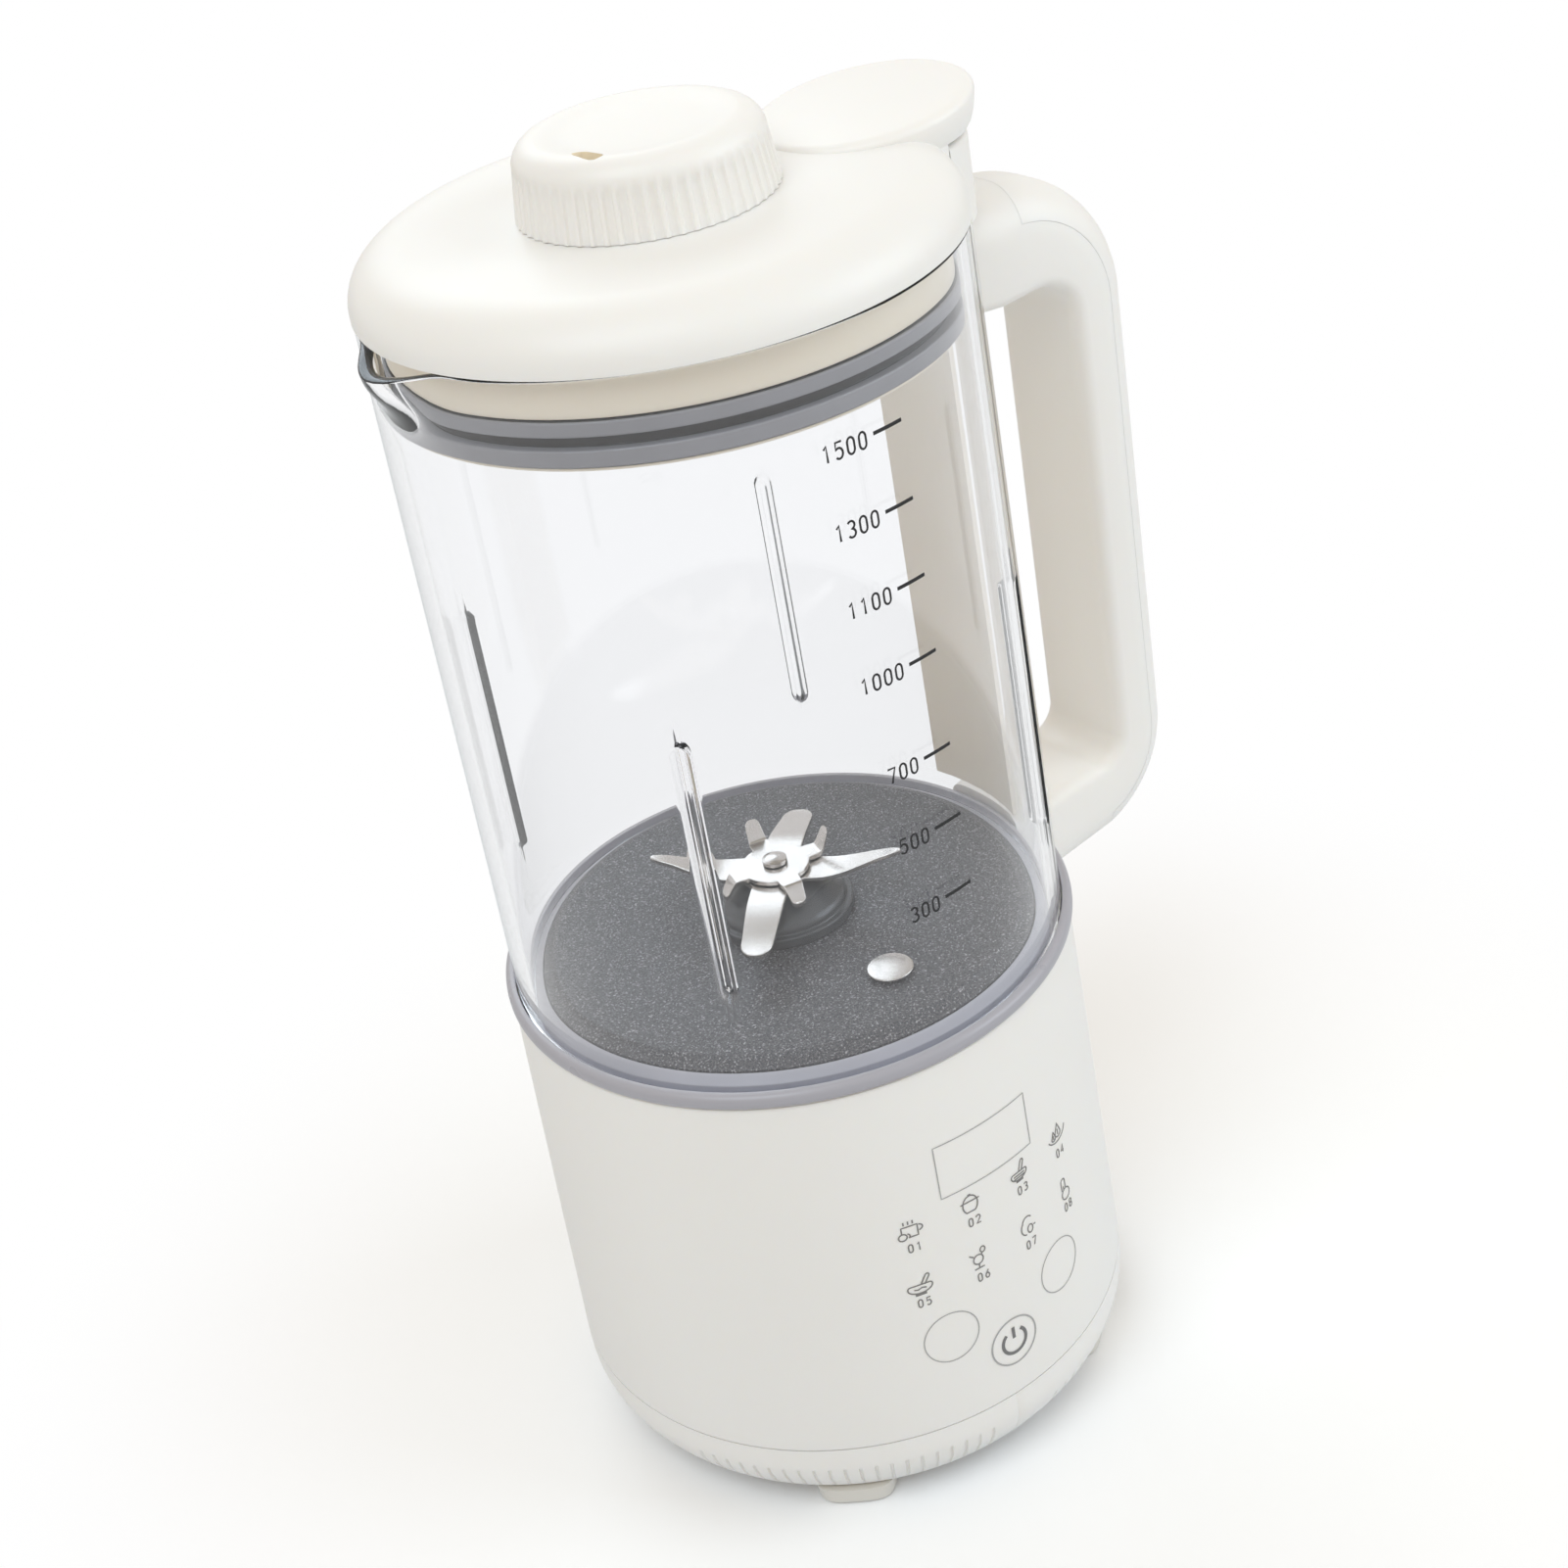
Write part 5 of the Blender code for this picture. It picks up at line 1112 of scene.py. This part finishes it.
def groove_share(degrees, height):
    """How deep the cover is grooved at a place: two banks of vents and one upright joint."""
    above = smooth_share((height - cover_bottom - vent_low_rise) / vent_end)
    deepest = 0.0
    for side, top_rise in ((1, vent_left_top), (-1, vent_right_top)):
        place = (side * (-90 - degrees) - vent_first_degrees) / vent_pitch_degrees
        number = min(max(round(place), 0), vent_count - 1)
        off = abs(place - number) * vent_pitch_degrees
        across = min(max((vent_half_degrees - off) / (vent_half_degrees * vent_slope_share), 0.0), 1.0)
        below = smooth_share((cover_bottom + top_rise - height) / vent_end)
        deepest = max(deepest, across * above * below)
    off = abs(degrees - joint_degrees)
    across = min(max((joint_half_degrees - off) / joint_half_degrees, 0.0), 1.0)
    return deepest + across * joint_depth_share * above


def cover_angles():
    """Upright lines of the cover: evenly round it, and at the edges of each vent and of the joint."""
    angles = {round(360 * line / cover_lines - 270, 4) for line in range(cover_lines)}
    edge = 1 - vent_slope_share
    for side in (-1, 1):
        for number in range(vent_count):
            middle = -90 + side * (vent_first_degrees + number * vent_pitch_degrees)
            angles.update(round(middle + share * vent_half_degrees, 4) for share in (-1, -edge, edge, 1))
    angles.update(round(joint_degrees + share * joint_half_degrees, 4) for share in (-1, 0, 1))
    return sorted(angles)


def cover_radius(height):
    share = max(0.0, 1 - (height - cover_bottom) / cover_edge_rise)
    return seam_radius - cover_edge_inset * share * share


def build_cover():
    """The dish under the base: a rounded edge with banks of fine vents, and slots in its floor."""
    top = seam - gap
    base = cover_radius(cover_bottom)
    floor = cover_bottom + cover_floor
    wall = seam_radius - base_wall
    rows = [(0.0, cover_bottom), (base * 0.5, cover_bottom), (base - cover_floor, cover_bottom)]
    shares = [(row / cover_rows) ** cover_row_crowding for row in range(cover_rows + 1)]
    outside = [mix(cover_bottom, top, share) for share in shares]
    inside = [(wall, top), (wall, cover_bottom + cover_edge_rise), (base - base_wall, floor), (0.0, floor)]
    angles = cover_angles()
    rings = level_rings(rows, angles)
    for height in outside:
        reach = cover_radius(height)
        ring = [(*polar(reach - vent_depth * groove_share(turn, height), turn), height) for turn in angles]
        rings.append(ring)
    rings += level_rings(inside, angles)
    mesh = lofted(rings, "open")
    bmesh.ops.remove_doubles(mesh, verts=mesh.verts, dist=weld_reach)
    shape = loose(mesh)
    half_length = floor_slot_length / 2
    half_width = floor_slot_width / 2
    for number in range(floor_slot_count):
        slot = box_mesh((floor_slot_place - half_length, -half_width, cover_bottom - cover_floor),
                        (floor_slot_place + half_length, half_width, cover_bottom + cover_floor * 2))
        turn = Matrix.Rotation(math.tau * number / floor_slot_count, 4, "Z")
        bmesh.ops.transform(slot, matrix=turn, verts=slot.verts)
        combine(shape, slot)
    finish_piece(taken(shape), "bottom_cover")


def foot_ring(centre, inset, height):
    """A level ring of a foot: a rounded square that faces the jug's axis."""
    turn = Matrix.Rotation(math.atan2(centre[1], centre[0]), 2)
    ring = []
    for degrees in range(0, 360, 8):
        point = square_point(foot_half_depth - inset, foot_half_width - inset, degrees, foot_squareness)
        spot = turn @ Vector(point)
        ring.append((centre[0] + spot.x, centre[1] + spot.y, height))
    return ring


def build_feet():
    """Four flat rubber feet with a soft lower edge."""
    for number in range(1, 5):
        node = f"foot_{number}"
        centre = middle_of(*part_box(node))
        rings = [foot_ring(centre, foot_taper + foot_round * (1 - out), foot_round * up)
                 for up, out in quarter(6)]
        rings.append(foot_ring(centre, 0, cover_bottom - gap))
        finish_piece(lofted(rings), node)


# Handle
def handle_path():
    """Stations of the handle from its top root round the grip to its bottom root.

    Each is the place of the outer face, the direction in from it, and the depth there.
    """
    top = rim_height - handle_top_drop
    low = deck + bottom_arm_top - bottom_arm_depth
    upper = Vector((grip_outer - top_corner_reach, top - top_corner_reach))
    lower = Vector((grip_outer - corner_reach, low + corner_reach))
    stations = []
    start = Vector((handle_root, top + top_arm_rise))
    bend = Vector((upper.x, top - top_arm_fall))
    inward = Vector((top_arm_lean, -1)).normalized()
    for share in (0.0, 0.25, 0.5, 0.75):
        stations.append((start.lerp(bend, share), inward, top_arm_depth))
    for degrees in range(86, 0, -4):
        outward = Vector(polar(1, degrees))
        depth = mix(grip_depth, top_arm_depth, smooth_share(degrees / 90))
        stations.append((upper + outward * top_corner_reach, -outward, depth))
    for share in (0.25, 0.5, 0.75):
        stations.append((Vector((grip_outer, mix(upper.y, lower.y, share))), Vector((-1, 0)), grip_depth))
    for degrees in range(-2, -78, -4):
        outward = Vector(polar(1, degrees))
        depth = mix(grip_depth, bottom_arm_depth, smooth_share(-degrees / 90))
        stations.append((lower + outward * corner_reach, -outward, depth))
    begin = Vector((lower.x, low))
    finish = Vector((handle_root, low - bottom_arm_root_drop))
    inward = Vector((-bottom_arm_lean, 1)).normalized()
    for share in (0.15, 0.4, 0.7, 1.0):
        stations.append((begin.lerp(finish, share), inward, bottom_arm_depth))
    return stations


def handle_section(place, inward, end, total):
    """A ring across the handle from its outer face to a depth; both edges are quarter circles."""
    depths = []
    for turn in range(0, 91, 10):
        depths.append((grip_outer_round * (1 - math.cos(math.radians(turn))), grip_outer_round, turn))
    for turn in range(90, -1, -15):
        depths.append((total - grip_inner_round * (1 - math.cos(math.radians(turn))), grip_inner_round, turn))
    kept = [entry for entry in depths if entry[0] < end - gap / 10]
    if end < grip_outer_round:
        kept.append((end, grip_outer_round, math.degrees(math.acos(1 - end / grip_outer_round))))
    else:
        kept.append((end, grip_inner_round, 0))
    ring = []
    for side, order in ((-1, kept), (1, kept[::-1])):
        for depth, reach, turn in order:
            half = grip_half_width - reach + reach * math.sin(math.radians(turn))
            spot = place + inward * depth
            ring.append((spot.x, side * half, spot.y))
    return ring


def machine_clearance():
    """What the handle must clear: base wall, ring, jug and strip, each by its own gap."""
    strip_face = jug_base_radius + strip_gap + strip_thickness + gap
    strip_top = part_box("handle_back_strip")[1].z + gap
    ring_face = ring_high.y + gap
    above = lid_top + lid_wall
    return turned([
        (0, seam),
        (seam_radius + gap, seam),
        (deck_radius + gap, deck),
        (ring_face, deck + gap),
        (ring_face, ring_high.z),
        (strip_face, ring_high.z + gap),
        (strip_face, strip_top),
        (block_face, strip_top + gap),
        (block_face, above),
        (0, above),
    ], wall_steps)


def cover_bed(sweep):
    """What the handle's body gives up for its cover: the skin, the seam round it and all outside it."""
    first, second = sweep[0], sweep[1]
    last, before = sweep[-1], sweep[-2]
    head = first[0] + (first[0] - second[0]).normalized() * handle_seam
    tail = last[0] + (last[0] - before[0]).normalized() * handle_seam
    stations = [(head, first[1]), *(station[:2] for station in sweep[1:-1]), (tail, last[1])]
    wide = grip_half_width + cover_margin
    rings = []
    for place, inward in stations:
        out = place - inward * cover_margin
        deep = place + inward * (cover_skin + handle_seam)
        corners = ((out, -wide), (deep, -wide), (deep, wide), (out, wide))
        rings.append([(spot.x, side, spot.y) for spot, side in corners])
    return lofted(rings)


def build_handle():
    """Two mouldings swept along one path: the body with its switch block, and the outer cover."""
    stations = handle_path()
    shape = loose(lofted([handle_section(place, inward, depth, depth) for place, inward, depth in stations]))
    block_low = block_top - block_base_drop
    block = [(0, block_low, 0), (block_radius, block_low, 0), (block_radius, block_top, block_edge),
             (0, block_top, 0)]
    combine(shape, turned(rounded(block), boss_steps, (tab_centre, 0)), "UNION")
    combine(shape, machine_clearance())
    cover_start = grip_outer - cover_top_reach
    cover_end = grip_outer - cover_bottom_reach
    first = next(index for index, station in enumerate(stations) if station[0].x > cover_start)
    last = max(index for index, station in enumerate(stations) if station[0].x > cover_end)
    sweep = stations[first: last + 1]
    combine(shape, cover_bed(sweep))
    finish_piece(taken(shape), "handle_body")
    skin = [handle_section(place, inward, cover_skin, depth) for place, inward, depth in sweep]
    finish_piece(lofted(skin), "handle_cover")


# Prints: strokes drawn flat, then laid on a round wall
def arc(centre, radii, start, end, parts=10):
    points = []
    for part in range(parts + 1):
        x, y = polar(1, mix(start, end, part / parts))
        points.append((centre[0] + radii[0] * x, centre[1] + radii[1] * y))
    return points


def loop(centre, radii, parts=14):
    return arc(centre, radii, 0, 360, parts)


def line(*points):
    """A polyline with a point at least every millimetre, so that it can follow a round wall."""
    made = [points[0]]
    for start, end in zip(points, points[1:]):
        parts = max(1, math.ceil(math.dist(start, end) / print_pitch))
        made += [(mix(start[0], end[0], part / parts), mix(start[1], end[1], part / parts))
                 for part in range(1, parts + 1)]
    return made


def stroke_sides(points, width):
    """The two sides of a stroke along a polyline, with mitred corners."""
    closed = math.dist(points[0], points[-1]) < 1e-9
    left = []
    right = []
    for index, point in enumerate(points):
        before = points[index - 1] if index else (points[-2] if closed else None)
        after = points[index + 1] if index + 1 < len(points) else (points[1] if closed else None)
        along = Vector((0, 0))
        for start, end in ((before, point), (point, after)):
            if start and end:
                along += (Vector(end) - Vector(start)).normalized()
        along.normalize()
        side = Vector((-along.y, along.x)) * width / 2
        left.append((point[0] + side.x, point[1] + side.y))
        right.append((point[0] - side.x, point[1] - side.y))
    return left, right


def shell_radius(height):
    return mix(seam_radius, deck_radius, (height - seam) / (deck - seam))


def lay_strokes(name, look, strokes, width, centre_degrees, height, radius_at=shell_radius):
    """Lays flat strokes on a turned wall as one thin printed layer."""
    mesh = bmesh.new()

    def on_wall(point, lift):
        level = height + point[1]
        radius = radius_at(level)
        degrees = centre_degrees + math.degrees(point[0] / radius)
        return mesh.verts.new((*polar(radius + lift, degrees), level))

    for points in strokes:
        left, right = stroke_sides(points, width)
        low_left, low_right, high_left, high_right = (
            [on_wall(point, lift) for point in side]
            for lift in (print_lift, print_lift + print_thickness) for side in (left, right))
        loops = list(zip(low_left, low_right, high_right, high_left))
        for near, far in zip(loops, loops[1:]):
            for index in range(4):
                after = (index + 1) % 4
                mesh.faces.new((near[index], near[after], far[after], far[index]))
        mesh.faces.new(loops[0])
        mesh.faces.new(loops[-1])
    settle(name, mesh, looks[look], "machine", smooth=False)


def digit_strokes(digit):
    """A digit as polylines in a box one wide and two high."""
    return {
        "0": [arc((0.5, 1.4), (0.45, 0.6), 0, 180) + arc((0.5, 0.6), (0.45, 0.6), 180, 360) + [(0.95, 1.4)]],
        "1": [[(0.2, 1.6), (0.55, 2.0), (0.55, 0.0)]],
        "2": [arc((0.5, 1.5), (0.5, 0.5), 165, -30) + [(0.05, 0.0), (1.0, 0.0)]],
        "3": [arc((0.48, 1.52), (0.45, 0.48), 150, -90) + arc((0.48, 0.52), (0.48, 0.52), 90, -150)[1:]],
        "4": [[(0.75, 0.0), (0.75, 2.0), (0.0, 0.55), (1.0, 0.55)]],
        "5": [[(0.95, 2.0), (0.15, 2.0), (0.08, 1.1)] + arc((0.46, 0.65), (0.5, 0.65), 120, -140)],
        "6": [arc((0.5, 0.6), (0.45, 0.6), 120, 480, 16), [(0.8, 2.0), (0.12, 1.0)]],
        "7": [[(0.0, 2.0), (1.0, 2.0), (0.4, 0.0)]],
        "8": [arc((0.5, 1.5), (0.4, 0.5), -90, 270, 14), arc((0.5, 0.5), (0.48, 0.5), 90, 450, 14)],
    }[digit]


def number_strokes(text, height, pitch, right=0.0, base=0.0):
    """Strokes of a number whose last digit ends at the right edge."""
    scale = height / 2
    strokes = []
    for place, digit in enumerate(text):
        left = right - (len(text) - place) * pitch + (pitch - scale)
        for points in digit_strokes(digit):
            strokes.append([(left + x * scale, base + y * scale) for x, y in points])
    return strokes


def build_scale():
    """Seven marks with their numbers, printed on the outside of the glass."""
    middle = sum(mark_degrees) / 2
    half_turn = math.radians((mark_degrees[1] - mark_degrees[0]) / 2)
    for amount, rise in scale_marks:
        height = deck + rise
        half = half_turn * jug_radius(height)
        lay_strokes(f"scale_mark_{amount}", "scale_ink", [line((-half, 0), (half, 0))], mark_width, middle,
                    height, jug_radius)
        strokes = number_strokes(str(amount), number_height, number_pitch)
        lay_strokes(f"scale_number_{amount}", "scale_ink", strokes, number_stroke, number_right_degrees,
                    height - number_drop - number_height / 2, jug_radius)


# Pictograms: each is drawn in a box one wide and one high
def spoon_handle(foot, tip, half_width):
    """A narrow loop from its open foot round a tip, for a spoon that stands in a bowl."""
    along = (Vector(tip) - Vector(foot)).normalized()
    side = Vector((-along.y, along.x)) * half_width
    points = [tuple(Vector(foot) + side)]
    for degrees in range(90, -91, -30):
        turn = math.radians(degrees)
        points.append(tuple(Vector(tip) + side * math.sin(turn) + along * half_width * math.cos(turn)))
    return points + [tuple(Vector(foot) - side)]


def bowl(left, right, top, depth):
    """A deep bowl with rounded ends and a doubled foot."""
    middle = (left + right) / 2
    reach = (right - left) / 2
    end = depth * 0.28
    rim = [(left + end, top), (right - end, top)] + arc((right - end, top - end), (end, end), 90, 0, 4)
    belly = arc((middle, top - end), (reach, depth - end), 0, -180, 14)
    outline = rim + belly + arc((left + end, top - end), (end, end), 180, 90, 4)
    half_foot = reach * 0.45
    feet = [top - depth * share for share in (1.08, 1.2)]
    return [outline] + [line((middle - half_foot, foot), (middle + half_foot, foot)) for foot in feet]


def icon_cup():
    steam = [[(x, 0.74), (x, 0.88)] for x in (0.30, 0.46, 0.62)]
    cup = [(0.20, 0.42), (0.20, 0.66), (0.76, 0.66), (0.76, 0.20), (0.42, 0.20)]
    handle = arc((0.76, 0.50), (0.18, 0.13), 75, -75, 8)
    bean = [loop((0.22, 0.26), (0.15, 0.14)), arc((0.40, 0.26), (0.07, 0.10), 100, -60, 6)]
    return steam + [cup, handle] + bean


def icon_pot():
    body = arc((0.5, 0.47), (0.30, 0.37), -55, 235, 22)
    body += [body[0]]
    return [body, line((0.12, 0.60), (0.88, 0.60)), line((0.44, 0.88), (0.56, 0.88))]


def icon_mortar():
    lines = [line((0.22, y), (0.76, y)) for y in (0.38, 0.28)]
    return bowl(0.10, 0.88, 0.50, 0.32) + lines + [spoon_handle((0.56, 0.50), (0.70, 0.86), 0.07)]


def icon_dish():
    flames = []
    for x, foot, size in ((0.34, 0.34, 0.10), (0.58, 0.36, 0.14)):
        flame = [(x, foot + size * 4)] + arc((x, foot + size), (size, size), 30, -210, 12)
        flames.append(flame + [flame[0]])
        flames.append(line((x, foot + size * 0.6), (x, foot + size * 2.2)))
    return flames + [arc((0.50, 0.66), (0.48, 0.46), 205, 350, 14)]


def icon_bowl():
    wave = [(0.28, 0.36), (0.42, 0.32), (0.56, 0.38), (0.72, 0.34)]
    return bowl(0.06, 0.94, 0.52, 0.36) + [wave, spoon_handle((0.62, 0.52), (0.80, 0.84), 0.07)]


def icon_glass():
    leaf = [loop((0.68, 0.84), (0.10, 0.12)), line((0.60, 0.66), (0.66, 0.74))]
    stick = line((0.12, 0.80), (0.28, 0.68))
    stand = [line((0.46, 0.30), (0.46, 0.12)), line((0.26, 0.12), (0.66, 0.12))]
    return [loop((0.46, 0.50), (0.20, 0.20))] + leaf + [stick] + stand


def icon_drops():
    left = arc((0.44, 0.48), (0.26, 0.30), 125, 262, 12)
    top = arc((0.52, 0.64), (0.26, 0.28), 40, 160, 10)
    return [left, top, loop((0.62, 0.34), (0.13, 0.17)), line((0.80, 0.40), (0.90, 0.40))]


def icon_thermometer():
    stem = spoon_handle((0.44, 0.50), (0.44, 0.88), 0.10)
    return [stem, loop((0.52, 0.28), (0.20, 0.24)), line((0.44, 0.52), (0.44, 0.66))]


icons = (icon_cup, icon_pot, icon_mortar, icon_dish, icon_bowl, icon_glass, icon_drops, icon_thermometer)


def build_keys():
    """Eight programme keys in two rows: a generic pictogram over a plain number."""
    for index, icon in enumerate(icons):
        row, column = divmod(index, len(icon_angles))
        width = icon_widths[column]
        strokes = [[((x - 0.5) * width, (y - 0.5) * icon_size) for x, y in points] for points in icon()]
        fine = [line(*points) for points in strokes]
        number = number_strokes(f"0{index + 1}", key_number_height, key_number_pitch, key_number_pitch,
                                key_number_base)
        lay_strokes(f"key_{index + 1}", "panel_ink", fine + number, panel_stroke, icon_angles[column],
                    deck + icon_rows[row])


def build_panel_outlines():
    """Outlines of an empty display and two empty keys, and the power key with its ring and sign."""
    x = display_width / 2
    y = display_height / 2
    border = line((-x, -y), (x, -y), (x, y), (-x, y), (-x, -y))
    lay_strokes("display_outline", "panel_ink_light", [border], outline_stroke, display_degrees,
                deck - display_drop)
    circle = loop((0, 0), (blank_key_radius, blank_key_radius), 48)
    for name, degrees in zip(("left", "right"), blank_key_degrees):
        lay_strokes(f"blank_key_{name}", "panel_ink_light", [circle], outline_stroke, degrees,
                    deck - blank_key_drop)
    ring = loop((0, 0), (power_key_radius, power_key_radius), 48)
    lay_strokes("power_key_ring", "panel_ink_light", [ring], power_ring_stroke, power_key_degrees,
                deck - power_key_drop)
    radius = power_sign_radius
    sign = [arc((0, 0), (radius, radius), 128, 412, 32), line((0, radius * 0.25), (0, radius * 1.2))]
    lay_strokes("power_key_sign", "panel_ink_dark", sign, power_sign_stroke, power_key_degrees,
                deck - power_key_drop)


# Studio
def build_floor():
    """A plain floor that keeps the shadow near the object and fades to white beyond it."""
    mesh = bmesh.new()
    corners = ((-1, -1), (1, -1), (1, 1), (-1, 1))
    mesh.faces.new([mesh.verts.new((x * floor_reach, y * floor_reach, -floor_drop)) for x, y in corners])
    data = mesh_data("studio_floor", mesh)
    floor = added("studio_floor", data)
    look = Look("floor_look", floor_lit_colour, 1.0)
    look.set("Specular IOR Level", 0.0)
    tree = look.material.node_tree
    seen = seen_by(tree, "Is Camera Ray", "Is Transmission Ray")
    colour = chosen_colour(tree, seen, floor_lit_colour, floor_seen_colour)
    tree.links.new(colour, look.shader.inputs["Base Color"])
    white = tree.nodes.new("ShaderNodeEmission")
    reach = tree.nodes.new("ShaderNodeVectorMath")
    reach.operation = "LENGTH"
    tree.links.new(look.place, reach.inputs[0])
    fade = tree.nodes.new("ShaderNodeMapRange")
    fade.interpolation_type = "SMOOTHSTEP"
    fade.inputs["From Min"].default_value = floor_fade_start
    fade.inputs["From Max"].default_value = floor_fade_end
    tree.links.new(reach.outputs["Value"], fade.inputs["Value"])
    far = worked_out(tree, "MULTIPLY", fade.outputs["Result"], seen)
    choose_surface(tree, far, look.shader.outputs["BSDF"], white.outputs["Emission"])
    data.materials.append(look.material)


def build_world():
    """White where it is seen, also in gloss and through glass, and a warm soft light elsewhere."""
    world = bpy.data.worlds.new("studio")
    bpy.context.scene.world = world
    world.use_nodes = True
    tree = world.node_tree
    seen = seen_by(tree, "Is Camera Ray", "Is Transmission Ray", "Is Glossy Ray")
    colour = chosen_colour(tree, seen, world_light_colour, world_seen_colour)
    background = tree.nodes["Background"]
    tree.links.new(colour, background.inputs["Color"])
    background.inputs["Strength"].default_value = 1.0


def build_lamps():
    for name, place, size, power in lamps:
        lamp = bpy.data.lights.new(name, "AREA")
        lamp.shape = "DISK"
        lamp.size = size
        lamp.energy = power
        lamp.color = lamp_colour
        made = added(name, lamp)
        made.location = place
        toward = Vector(lamp_aim) - Vector(place)
        made.rotation_euler = toward.to_track_quat("-Z", "Y").to_euler()


def build_camera():
    azimuth = math.radians(camera_azimuth)
    elevation = math.radians(camera_elevation)
    roll = math.radians(camera_roll)
    back = Vector((math.sin(azimuth) * math.cos(elevation), -math.cos(azimuth) * math.cos(elevation),
                   math.sin(elevation)))
    level_right = Vector((math.cos(azimuth), math.sin(azimuth), 0))
    level_up = back.cross(level_right)
    right = math.cos(roll) * level_right + math.sin(roll) * level_up
    up = math.cos(roll) * level_up - math.sin(roll) * level_right
    data = bpy.data.cameras.new("photo_camera")
    data.sensor_width = sensor_width
    data.lens = camera_lens
    camera = added("photo_camera", data)
    place = Vector((axis_x, 0, deck)) + Vector(camera_offset)
    camera.matrix_world = Matrix.Translation(place) @ Matrix((right, up, back)).transposed().to_4x4()
    bpy.context.scene.camera = camera


def main():
    build_camera()
    dress_nodes()
    build_glass()
    build_shell()
    build_cover()
    build_feet()
    build_base_rings()
    build_housing()
    build_blades()
    build_probe()
    build_plug_and_seal()
    build_lid()
    build_cap()
    build_handle()
    build_scale()
    build_keys()
    build_panel_outlines()
    build_floor()
    build_world()
    build_lamps()
    bpy.context.scene.view_settings.view_transform = "Standard"


main()
